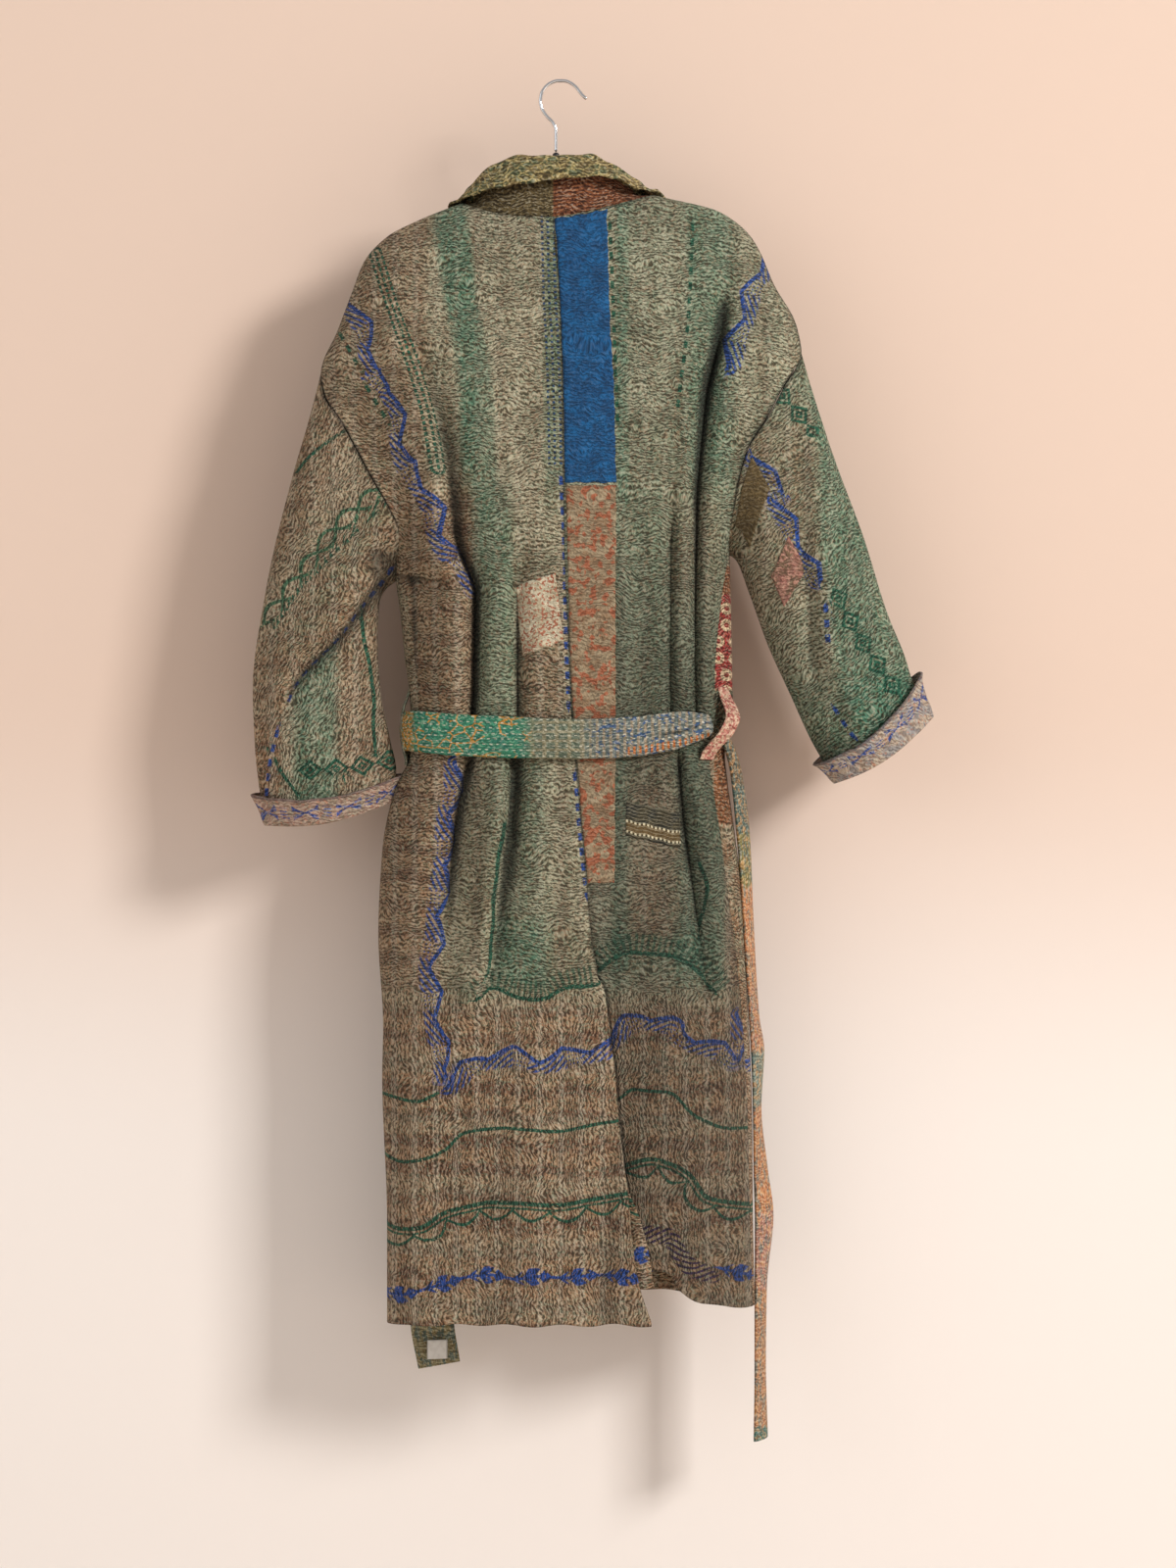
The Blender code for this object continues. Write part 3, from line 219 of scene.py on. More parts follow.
# Narrow creases: (column, row) points, width on the left or lower side and on the other, height (share, mm)
CREASES = {
    "left": [
        ([(399, 300), (410, 330), (424, 352), (434, 395), (449, 450), (456, 490), (463, 545), (474, 580),
          (485, 604), (484, 640), (483, 700), (481, 730)], 4.0, 8.0,
         [(0, 0), (0.15, -2.5), (0.4, -4), (0.6, -6), (0.75, -9), (0.95, -8), (1, -5)]),
        ([(388, 300), (398, 345), (420, 395), (436, 450), (443, 490), (450, 545), (462, 585), (471, 606),
          (469, 650), (467, 725)], 11.0, 7.0, [(0, 0), (0.2, 2.5), (0.6, 4), (0.8, 6), (1, 4)]),
        ([(404, 572), (430, 573), (448, 578), (462, 588)], 5.0, 16.0, [(0, 4), (0.4, 7), (0.8, 6), (1, 2)]),
        ([(404, 586), (430, 588), (446, 593), (458, 602)], 9.0, 3.0,
         [(0, -7), (0.4, -11), (0.8, -8), (1, -2)]),
        ([(529, 590), (528, 650), (528, 730)], 3.5, 5.0, [(0, 0), (0.3, -4), (1, -4)]),
        ([(422, 592), (424, 650), (425, 715)], 4.0, 4.0, [(0, -2), (0.3, -4), (1, -3)]),
        ([(479, 778), (471, 800), (464, 841), (459, 900), (453, 960)], 4.0, 10.0,
         [(0, -8), (0.3, -9), (0.7, -5), (1, 0)]),
        ([(520, 776), (520, 800), (516, 851), (509, 902), (505, 943), (502, 984), (494, 1014), (481, 1041)],
         3.5, 12.0, [(0, -8), (0.4, -9), (0.7, -6), (1, 0)]),
        ([(511, 776), (511, 800), (507, 851), (500, 902), (496, 943), (493, 984), (486, 1014), (473, 1041)],
         8.0, 4.5, [(0, 3), (0.4, 4), (0.8, 3), (1, 0)]),
        ([(404, 795), (399, 870), (398, 950)], 8.0, 8.0, [(0, 0), (0.4, 3), (1, 0)]),
        ([(545, 560), (548, 640), (550, 720)], 12.0, 8.0, [(0, 0), (0.4, 2.5), (1, 2)]),
        ([(420, 420), (432, 470), (436, 530)], 7.0, 5.0, [(0, 0), (0.5, -3), (1, 0)]),
    ],
    "right": [
        ([(744, 325), (731, 367), (722, 404), (715.5, 459), (711, 515), (709.5, 620), (709.5, 735)], 3.5,
         4.5,
         [(0, 0), (0.12, -6), (0.5, -6), (1, -5)]),
        ([(690, 480), (685, 560), (684, 650), (684, 730)], 4.0, 5.0, [(0, 0), (0.3, -4), (1, -4)]),
        ([(752, 330), (741, 380), (733, 450), (724, 520), (719, 620), (718, 725)], 6.0, 8.0,
         [(0, 0), (0.3, 3), (0.7, 4), (1, 3)]),
        ([(694, 775), (697, 830), (706, 900), (716, 980), (724, 1040)], 7.0, 4.0,
         [(0, -7), (0.4, -7), (0.8, -3), (1, 0)]),
        ([(722, 792), (735, 850), (743, 900), (750, 960)], 5.0, 5.0, [(0, -4), (0.5, -7), (1, -2)]),
        ([(710, 778), (713, 800), (725, 882), (733, 943), (737, 1004), (740, 1030)], 8.0, 5.0,
         [(0, 3), (0.5, 4), (1, 0)]),
        ([(662, 300), (657, 420), (650, 520)], 14.0, 14.0, [(0, 0), (0.5, 2.5), (1, 0)]),
        ([(634, 560), (638, 640), (640, 720)], 9.0, 9.0, [(0, 0), (0.5, 2.5), (1, 2)]),
        ([(632, 790), (640, 880), (642, 985)], 12.0, 12.0, [(0, 2), (0.5, 2.5), (1, 0)]),
        ([(664, 790), (672, 880), (676, 985)], 9.0, 9.0, [(0, -2), (0.5, -3), (1, 0)]),
        ([(770, 300), (780, 340), (776, 380)], 8.0, 8.0, [(0, 0), (0.5, -3), (1, 0)]),
    ],
}
print("folds:", {side: len(FOLDS[side]) + len(CREASES[side]) for side in FOLDS})

# %% [markdown]
# ## The body
# Two backs and two fronts make one flat tube that hangs from the shoulders. A simulation would
# drape it, but its folds would not lie where they are wanted. So `body` gives a point of the outer
# cloth for an angle round the coat and a row: a flat ring, opened at the armholes, plus its folds.

# %% Body ring
def half_opening(side, row):
    """34 sin(pi c)^0.6 mm, c running from 0 at the shoulder tip to 1 at the underarm."""
    c = np.clip((row - TIP[side]) / (UNDERARM[side] - TIP[side]), 0.0, 1.0)
    return ARM_DEPTH * np.sin(np.pi * c) ** 0.6


def fold_height(side, column, row, s):
    """Wide folds, narrow creases, hem waves and rumples in mm, pressed flat under the belt."""
    total = np.zeros(np.shape(column))
    for path, width, height in FOLDS[side]:
        total = total + line(height, row) * np.exp(-((column - line(path, row)) / width) ** 2)
    total = total + creases(CREASES[side], column, row)
    wave = 4.0 * np.sin(column / 21.0 + 0.6) + 2.0 * np.sin(column / 9.5 + row / 160.0)
    total = total + wave * ease((row - 900.0) / 350.0)
    gather = np.exp(-np.abs(np.abs(row - BELT_ROW) - 26.0) / 34.0)
    total = total + gather * (0.9 * np.sin(column / 3.7 + row / 60.0) + 0.7 * np.sin(column / 6.1))
    rumple = 0.55 * np.sin(column / 8.0 + 2.0 * np.sin(row / 31.0))
    total = total + rumple * np.sin(row / 11.0 + 1.7 * np.sin(column / 23.0))
    total = total - 1.6 * np.exp(-((column - line(MIDDLE, row)) / 3.0) ** 2) * (row < VENT_TOP)
    pressed = np.exp(-(((row - 750.0) / 36.0) ** 4))
    total = np.where(total > 0.0, total * (1.0 - 0.92 * pressed), total)
    return total * (1.0 - np.minimum(np.abs(s), 1.0) ** 8)


def body(side, angle, row, folded=True):
    """Point of the outer cloth: angle 0 is the middle of the back, 90 degrees the side, 180 the front."""
    angle, row = np.broadcast_arrays(np.asarray(angle, float), np.asarray(row, float))
    s, lean, top = np.sin(angle), np.abs(np.cos(angle)), TOP[side]
    bend = np.abs(s)
    back = np.cos(angle) >= 0.0
    fall = 224.0 - top - (18.0 if side == "left" else 26.0) * bend ** (3.0 if side == "left" else 1.4)
    level = row + np.where(back, fall * (1.0 - ease((row - top) / 70.0)), 0.0)
    middle = line(MIDDLE, level)
    column = middle + (line(SIDE[side], row) - middle) * s
    if side == "right":
        edge = [(600, -45), (660, -44), (680, -39), (694, -21), (715, -9), (750, -1), (770, 0)]
        rise = np.where(back, line(edge, column), -9.0 * (1.0 - bend))
    else:
        rise = np.where(back, 6.0 * bend ** 3, 6.0 - 14.0 * (1.0 - bend))
    level = level + ease((row - 1240.0) / 100.0) * rise
    level = level + ease((row - 1300.0) / 40.0) * 1.3 * np.sin(column / 8.5) * (1.0 - bend ** 6)
    edge = half_opening(side, row) * bend ** 3
    reach = np.where(back, line(BACK_DEPTH, level), line(FRONT_DEPTH, level)) * lean ** 0.8
    depth = (reach ** 4 + edge ** 4) ** 0.25
    if folded:
        folds = fold_height(side, column, level, s)
    else:
        folds = 0.0
    swell = (np.sin(column / 17.0) * 4.0 + np.sin(column / 40.0 + 1.0) * 3.0) * ease((row - 640.0) / 300.0)
    swell = swell + 1.2 * np.sin(column / 9.0 + row / 70.0) * np.sin(row / 47.0)
    depth = np.where(back, depth + folds, -depth + swell * (1.0 - bend ** 6))
    if side == "right":
        beside = 1.0 - ease((column - 640.0) / 70.0)
        drop = 5.0 * ease((row - VENT_TOP + 70.0) / 66.0) + 3.5 * ease((row - VENT_TOP) / 60.0)
        depth = np.where(back, depth - beside * drop, depth)
    return place(column, level, depth)


def body_normal(side, angle, row):
    """Outward direction: cross product of the steps round and down, each read over a few millimetres."""
    angle, row = np.broadcast_arrays(np.asarray(angle, float), np.asarray(row, float))
    ahead, behind = angle + 0.03, angle - 0.03
    armhole = half_opening(side, row) > 0.3
    ahead = np.where(armhole & (angle <= np.pi / 2 + 1e-6), np.minimum(ahead, np.pi / 2 - 1e-4), ahead)
    behind = np.where(armhole & (angle > np.pi / 2 + 1e-6), np.maximum(behind, np.pi / 2 + 1e-4), behind)
    across = body(side, ahead, row) - body(side, behind, row)
    down = body(side, angle, row + 1.5) - body(side, angle, np.maximum(row - 1.5, TOP[side]))
    n = np.cross(across, down)
    n = n / np.linalg.norm(n, axis=-1, keepdims=True)
    return n if side == "left" else -n


def to_angle(s, front=False):
    """asin(s) on the back and 180 degrees less that on the front."""
    a = np.arcsin(np.clip(s, -1.0, 1.0))
    return np.pi - a if front else a


def share(side, column, row):
    """Where a column lies between the middle (0) and the outline (1)."""
    middle = line(MIDDLE, row)
    return (column - middle) / (line(SIDE[side], row) - middle)


print("middle of the back at the waist:", body("left", 0.0, BELT_ROW).round(4))


# %% [markdown]
# ## From a grid to a piece of cloth
# A quilt is a thin sheet, so every piece is an open grid that Solidify makes a few millimetres
# thick. Each piece carries three UV maps: `cloth` (metres along the weave), `place` (column and row in
# thousands) and `band` (along and across the nearest border line, in units). The colour
# attribute `zones` holds how green, brown and pale the dye is, and in its fourth channel how much
# painted shade and dark seam line lies on the cloth; `border` holds how near the
# border line is and which motif it has.

# %% Mesh builder
def flat_lengths(points):
    """Arc lengths in metres across the middle row and down the middle column, as a grid of two numbers."""
    middle = points[len(points) // 2]
    across = np.concatenate([[0.0], np.cumsum(np.linalg.norm(np.diff(middle, axis=0), axis=1))])
    middle = points[:, points.shape[1] // 2]
    down = np.concatenate([[0.0], np.cumsum(np.linalg.norm(np.diff(middle, axis=0), axis=1))])
    return np.stack(np.meshgrid(across, down), axis=-1)


def surface_area(points):
    """Area in square metres of a grid of points, from the cross products of its steps."""
    across = points[:-1, 1:] - points[:-1, :-1]
    down = points[1:, :-1] - points[:-1, :-1]
    return float(np.linalg.norm(np.cross(across, down), axis=-1).sum())


def weave(name, points, core, material, cloth=CLOTH, offset=-1.0, coords=None, bands=None, zones=None,
          flat=None):
    """A named sheet through a grid of points, its outside facing away from core, given its thickness."""
    rows, cols = points.shape[:2]
    index = np.arange(rows * cols).reshape(rows, cols)
    quads = np.stack([index[:-1, :-1], index[:-1, 1:], index[1:, 1:], index[1:, :-1]], axis=-1)
    quads = quads.reshape(-1, 4)
    across = points[:-1, 1:] - points[:-1, :-1]
    down = points[1:, :-1] - points[:-1, :-1]
    outward = (points - np.broadcast_to(core, points.shape))[:-1, :-1]
    facing = (np.cross(across, down) * outward).sum()
    if facing > 0.0:
        quads = quads[:, ::-1]
    mesh = bpy.data.meshes.new(name)
    mesh.from_pydata(points.reshape(-1, 3), [], quads)
    corner = np.empty(len(mesh.loops), dtype=np.int32)
    mesh.loops.foreach_get("vertex_index", corner)
    if flat is None:
        flat = flat_lengths(points)
    if coords is None:
        coords = np.stack(seen(points), axis=-1)
    if bands is None:
        bands = (np.zeros((rows, cols)), np.full((rows, cols), 99.0), np.zeros((rows, cols)),
                 np.zeros((rows, cols)))
    maps = {"cloth": flat, "place": coords * 0.001, "band": np.stack(bands[:2], axis=-1) * 0.01}
    for key, uv in maps.items():
        layer = mesh.uv_layers.new(name=key)
        layer.data.foreach_set("uv", uv.reshape(-1, 2)[corner].ravel())
    if zones is None:
        zones = np.zeros((rows, cols, 4))
    border = np.stack([bands[2], bands[3] * 0.1, np.zeros((rows, cols)), np.ones((rows, cols))], axis=-1)
    for key, values in (("zones", zones), ("border", border)):
        layer = mesh.color_attributes.new(name=key, type="FLOAT_COLOR", domain="POINT")
        layer.data.foreach_set("color", values.astype(np.float32).ravel())
    mesh.shade_smooth()
    ob = bpy.data.objects.new(name, mesh)
    bpy.context.scene.collection.objects.link(ob)
    ob.data.materials.append(material)
    solid = ob.modifiers.new("thickness", "SOLIDIFY")
    solid.thickness = cloth
    solid.offset = offset
    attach(ob, "root")
    print(name, rows, "x", cols, "area", round(surface_area(points), 5))
    return ob


def nearest(lines, column, row):
    """Along, across, nearness and motif number of whichever border line is closest in its own widths."""
    best = np.full(np.shape(column), 1e9)
    out = [np.zeros_like(best) for _ in range(4)]
    for motif, half, points in lines:
        along, across = near(points, column, row)[:2]
        ratio = np.abs(across) / half
        closer = ratio < best
        best = np.where(closer, ratio, best)
        inside = ease((1.12 - ratio) / 0.2)
        for k, value in enumerate((along, across, inside, np.full_like(best, motif))):
            out[k] = np.where(closer, value, out[k])
    return out


print("cloth is", CLOTH * 1000.0, "mm thick")

# %% [markdown]
# ## Materials
# The cloth is old cotton in several washes, covered in close running stitch. `Field` wraps a node
# socket, so that a formula in Python becomes Math nodes, and `Cloth` hands a material its
# coordinates. Object coordinates keep blots and puckers even over the coat; the UV maps and
# attributes place what belongs to a seam or an edge.

# %% Field
class Field:
    """A number in a node tree. Each operator adds one Math node, also with a plain number on its left."""

    def __init__(self, tree, socket):
        """Keeps the tree and the output socket that carries the number."""
        self.tree = tree
        self.socket = socket

    def math(self, operation, *others):
        """operation(self, others...)."""
        return add(self.tree, "ShaderNodeMath", dict(enumerate((self,) + others)), {"operation": operation})

    def after(self, number, operation):
        """operation(number, self), for a plain number on the left."""
        return add(self.tree, "ShaderNodeMath", {0: number, 1: self}, {"operation": operation})

    def __add__(self, other):
        """self + other."""
        return self.math("ADD", other)

    def __sub__(self, other):
        """self - other."""
        return self.math("SUBTRACT", other)

    def __rsub__(self, number):
        """number - self, as in 1 - mask."""
        return self.after(number, "SUBTRACT")

    def __mul__(self, other):
        """self * other."""
        return self.math("MULTIPLY", other)

    def __truediv__(self, other):
        """self / other."""
        return self.math("DIVIDE", other)

    def __rtruediv__(self, number):
        """number / self."""
        return self.after(number, "DIVIDE")

    __radd__ = __add__
    __rmul__ = __mul__

    def sin(self):
        """Sine of the number, in radians."""
        return self.math("SINE")

    def abs(self):
        """Its size without its sign."""
        return self.math("ABSOLUTE")

    def power(self, k):
        """self to the power k."""
        return self.math("POWER", k)

    def part(self):
        """What is left above the next lower whole number."""
        return self.math("FRACT")

    def most(self, other):
        """The larger of the two."""
        return self.math("MAXIMUM", other)

    def rise(self, low, high):
        """Smooth step from 0 at low to 1 at high."""
        inputs = {"Value": self, "From Min": low, "From Max": high}
        return add(self.tree, "ShaderNodeMapRange", inputs, {"interpolation_type": "SMOOTHSTEP"})

    def within(self, half, soft):
        """1 where the value's size is below half, 0 above half + soft."""
        return 1.0 - self.abs().rise(half, half + soft)

    def equals(self, number):
        """1 within 0.45 of the number, else 0."""
        return self.math("COMPARE", number, 0.45)


def add(tree, kind, inputs, settings=None, out=0):
    """One node: its settings first, then its inputs; returns the chosen output."""
    node = tree.nodes.new(kind)
    for key, value in (settings or {}).items():
        setattr(node, key, value)
    for key, value in inputs.items():
        if isinstance(value, Field):
            tree.links.new(value.socket, node.inputs[key])
        else:
            node.inputs[key].default_value = value
    return Field(tree, node.outputs[out])


def mix(amount, one, two, how="MIX"):
    """Colour one where amount is 0 and colour two where it is 1."""
    return add(amount.tree, "ShaderNodeMix", {0: amount, 6: one, 7: two},
               {"data_type": "RGBA", "blend_type": how}, 2)


def rgb(red, green, blue):
    """Linear colour from 0-255 sRGB numbers, by ((c + 0.055) / 1.055)^2.4."""
    return tuple(((c / 255.0 + 0.055) / 1.055) ** 2.4 for c in (red, green, blue)) + (1.0,)


def cloud(tree, x, y, z, detail=2.0, rough=0.5):
    """Smooth noise from 0 to 1 at a point."""
    spot = add(tree, "ShaderNodeCombineXYZ", {0: x, 1: y, 2: z})
    return add(tree, "ShaderNodeTexNoise", {"Vector": spot, "Scale": 1.0, "Detail": detail,
                                            "Roughness": rough})


class Cloth:
    """The coordinates that a cloth material reads, each as a Field."""

    def __init__(self, name):
        """A new empty material, with one Field for each coordinate and dye, and one, dark, for the painted
        shade and seam lines of the zones.
        """
        self.material = bpy.data.materials.new(name)
        self.material.use_nodes = True
        tree = self.material.node_tree
        tree.nodes.clear()
        self.tree = tree
        self.output = tree.nodes.new("ShaderNodeOutputMaterial")
        for key, pair, scale in (("cloth", ("u", "v"), 1000.0), ("place", ("column", "row"), 1000.0),
                                 ("band", ("along", "across"), 100.0)):
            uv = add(tree, "ShaderNodeUVMap", {}, {"uv_map": key})
            for k, label in enumerate(pair):
                setattr(self, label, add(tree, "ShaderNodeSeparateXYZ", {0: uv}, out=k) * scale)
        for key, labels in (("zones", ("green", "brown", "pale")), ("border", ("inside", "motif"))):
            colour = add(tree, "ShaderNodeAttribute", {}, {"attribute_name": key})
            for k, label in enumerate(labels):
                setattr(self, label, add(tree, "ShaderNodeSeparateColor", {0: colour}, out=k))
        # dark: painted shade in folds and under edges, plus dark seam lines.
        self.dark = add(tree, "ShaderNodeAttribute", {}, {"attribute_name": "zones"}, out=3)
        self.motif = self.motif * 10.0
        where = add(tree, "ShaderNodeTexCoord", {}, out=3)
        for k, label in enumerate("xyz"):
            setattr(self, label, add(tree, "ShaderNodeSeparateXYZ", {0: where}, out=k) * 1000.0)

    def cloud(self, across, down, seed=0.0, detail=2.0):
        """Noise whose blots are about across by across by down millimetres in the coat's own space."""
        return cloud(self.tree, self.x / across + seed, self.y / across, self.z / down, detail)

    def finish(self, colour, height, rough, distance):
        """Matt Principled shader with the colour, and a bump of height times distance in metres."""
        tree = self.tree
        bump = add(tree, "ShaderNodeBump", {"Height": height, "Distance": distance})
        shader = add(tree, "ShaderNodeBsdfPrincipled",
                     {"Base Color": colour, "Roughness": rough, "Normal": bump})
        tree.links.new(shader.socket, self.output.inputs["Surface"])
        return self.material


print("sRGB 128 is linear", round(rgb(128, 128, 128)[0], 3))

# %% [markdown]
# ## Relief and borders
# Running stitch pulls layered cotton into short crinkles, a few millimetres apart. Modelled, they
# would need millions of faces, so they are a height that feeds the bump, and the same height
# paints shade into the troughs and a highlight onto the crests. Borders are ink laid over the wash,
# each motif drawn by the distances along and across its line.

# %% Quilting: rows of running stitch that pucker the layers (length and width of each noise, mm)
CRINKLE = (4.0, 2.1)
KINK = (4.4, 3.4)
GRAIN = (1.1, 0.9)
SHARES = (1.5, 0.26, 0.5)


def quilting(c, pitch=3.4, way=(0.0, 1.0), foot=None):
    """Crinkles, noise 4 mm long and 2 mm wide, plus rows, sin(2 pi q / pitch + kink), and a fine grain."""
    lean = (c.cloud(40.0, 34.0, 3.0, 1.0) - 0.5) * 26.0
    if foot:
        turned = (c.row + (c.column / 9.0).sin() * 3.0).math("GREATER_THAN", foot)
        q = c.z * (1.0 - turned) + c.x * turned
        p = c.x * (1.0 - turned) + c.z * turned
    else:
        q = c.x * way[0] + c.z * way[1]
        p = c.x * way[1] - c.z * way[0]
    q = q + lean
    crinkle = cloud(c.tree, p / CRINKLE[0], c.y / CRINKLE[0], q / CRINKLE[1], 1.5)
    kink = (cloud(c.tree, p / KINK[0] + 31.0, c.y / 6.0, q / KINK[1], 1.0) - 0.5) * 12.0
    rows = (q * (TURN / pitch) + kink).sin()
    grain = cloud(c.tree, p / GRAIN[0], c.y / GRAIN[0], q / GRAIN[1], 1.0)
    return (crinkle - 0.5) * SHARES[0] + rows * SHARES[1] + (grain - 0.5) * SHARES[2] + 0.5


def shaded(colour, height, tone=(0.19, 0.175, 0.14), depth=0.97, crest_highlight=0.26):
    """Colour with painted shade in the troughs and a painted highlight on the crests of the quilting's
    relief.
    """
    # Painted shade in the troughs of the relief.
    trough = 1.0 - height.rise(0.14, 0.62)
    colour = mix(trough * depth, colour, tone + (1.0,), "MULTIPLY")
    # Painted highlight on the crests of the relief.
    return mix(height.rise(0.60, 0.90) * crest_highlight, colour, rgb(216, 212, 190))


print("crinkles, mm:", CRINKLE)

# %% Border motifs, each an amount of ink from the distances along and across its line
COBALT = rgb(12, 66, 146)
EMERALD = rgb(4, 84, 62)
MOSS = rgb(52, 98, 70)
PURPLE = rgb(46, 18, 70)


def motifs(c, colour):
    """The colour with every border motif laid over it, each in its own dye, and the ink's amount."""
    a, d = c.along, c.across
    wear = c.cloud(2.0, 1.6, 41.0, 1.0).rise(0.27, 0.42)
    beat = (a * (math.pi / 46.0)).sin().abs()
    barbs = ((a - d.abs() * 0.8) * (TURN / 15.3)).sin().rise(-0.8, -0.45)
    leaf = 1.0 - (d.abs() - beat * 10.5 + 1.6).rise(-0.9, 0.5)
    leaf = (leaf * barbs).most(d.within(1.1, 0.8))
    zig = ((a / 52.0).part() - 0.5).abs() * 22.0 - 9.0
    wave = (d - zig).within(1.7, 1.0)
    under = (d - zig).rise(1.0, 3.0) * (1.0 - d.rise(11.0, 13.5))
    slant = ((a * 0.85 + d * 1.25) * (TURN / 7.6)).sin().rise(-0.1, 0.3)
    dots = (a * 1.6).sin().rise(0.1, 0.6) * (d * 1.6).sin().rise(0.1, 0.6)
    dotted = (a / 52.0).part().rise(0.47, 0.53) * (1.0 - (a / 52.0).part().rise(0.80, 0.86))
    hatch = wave.most(under * mix_value(dotted, slant, dots) * 0.95)
    thin = (d + (a / 7.0).sin() * 0.5).within(1.3, 0.9)
    arcs = (a * (math.pi / 36.0)).sin().abs() * 10.0
    scallop = d.within(1.7, 1.0).most((d - 5.2).within(0.8, 0.7)).most((d - 7.0 - arcs).within(1.2, 0.9))
    loops = (d.abs() - (a * (math.pi / 30.0)).sin().abs() * 8.0).within(1.6, 1.2)
    tooth = ((a / 26.0).part() - 0.5).abs() * 22.0
    diamonds = (d.abs() + tooth - 9.0).within(1.5, 1.0).most((d.abs() + tooth - 3.0).within(1.1, 0.9))
    checks = (a * 1.12).sin().rise(0.0, 0.4) * (d * 1.12).sin().rise(-0.1, 0.4) * d.within(8.5, 2.0)
    dashes = d.within(1.5, 0.9) * (a / 2.4).sin().rise(-0.3, 0.2)
    triple = d.within(1.0, 0.8).most((d.abs() - 5.5).within(0.9, 0.8)) * (a * 1.1).sin().rise(-0.9, -0.4)
    edge = (d + (a / 11.0).sin() * 1.6).within(1.6, 1.3)
    strokes = (a * 1.15).sin().rise(-0.4, 0.5) * (d + 9.0).within(8.0, 3.0) * 0.75
    inks = ((12, edge.most(strokes), EMERALD), (11, triple, EMERALD), (1, leaf, COBALT), (2, hatch, COBALT),
            (3, thin, EMERALD), (4, scallop, EMERALD), (5, loops, MOSS), (6, diamonds, EMERALD),
            (7, checks, rgb(24, 62, 104)), (8, dashes, EMERALD), (9, dashes, COBALT),
            (10, slant * d.within(8.0, 2.0), PURPLE))
    covered = wear * 0.0
    for number, ink, dye in inks:
        amount = ink * c.motif.equals(float(number)) * c.inside * wear * 0.97
        covered = amount.most(covered)
        colour = mix(amount, colour, dye)
    return colour, covered


def mix_value(amount, one, two):
    """one where amount is 0, two where it is 1."""
    return one * (1.0 - amount) + two * amount


# %% Worn quilted cotton of the panels and sleeves
def quilted(name, wash=(rgb(168, 160, 134), rgb(126, 118, 94)), extra=None, way=(0.0, 1.0), foot=None):
    """Mottled washes, soft stripes and checks, dyed zones, border motifs and the quilting's relief, with
    painted shade in its troughs and a painted highlight on its crests, then painted shade and dark seam lines
    from the zones.
    """
    c = Cloth(name)
    height = quilting(c, way=way, foot=foot)
    blot = c.cloud(40.0, 80.0, 0.0, 4.0).rise(0.38, 0.62)
    small = c.cloud(8.0, 7.0, 5.0, 3.0)
    tiny = c.cloud(3.4, 2.6, 15.0, 2.0)
    colour = mix(blot, wash[0], wash[1])
    stripes = (c.column * (TURN / 29.0) + c.cloud(80.0, 200.0, 61.0, 1.0) * 6.0).sin()
    colour = mix(stripes.rise(0.1, 0.9) * (small + 0.1) * 0.55, colour, rgb(116, 96, 72))
    colour = mix(c.green * (small * 1.1 + 0.28), colour, rgb(58, 120, 96))
    colour = mix(c.brown * (small * 0.9 + 0.45), colour, rgb(164, 128, 96))
    check = (c.row * (TURN / 27.0) + (small - 0.5) * 3.0 + blot * 1.5).sin().rise(-0.25, 0.55)
    cross = ((c.column + (small - 0.5) * 6.0) * (TURN / 21.0)).sin().rise(0.35, 0.95)
    colour = mix(c.brown * check * (blot * 0.3 + 0.52), colour, rgb(106, 72, 54))
    colour = mix((c.brown * 0.5 + 0.2) * cross * (tiny + 0.15) * 0.85, colour, rgb(190, 180, 162))
    colour = mix(c.pale * 0.75, colour, rgb(184, 176, 150))
    if extra:
        colour = extra(c, colour)
    colour = mix(tiny.rise(0.52, 0.60) * 0.42, colour, rgb(132, 90, 58))
    colour = mix(c.cloud(3.0, 2.4, 27.0, 2.0).rise(0.54, 0.61) * 0.40, colour, rgb(78, 122, 98))
    colour, ink = motifs(c, colour)
    # Painted shade in the quilting's troughs and a painted highlight on its crests, less highlight over ink.
    colour = shaded(colour, height, crest_highlight=(1.0 - ink * 0.85) * 0.26)
    # Painted shade in deep folds and beside edges, and dark seam lines, from the fourth channel of zones.
    colour = mix(c.dark, colour, rgb(18, 18, 12))
    return c.finish(colour, height, 0.93, 0.0019)


print("dyes of the borders:", COBALT, EMERALD, MOSS, PURPLE)
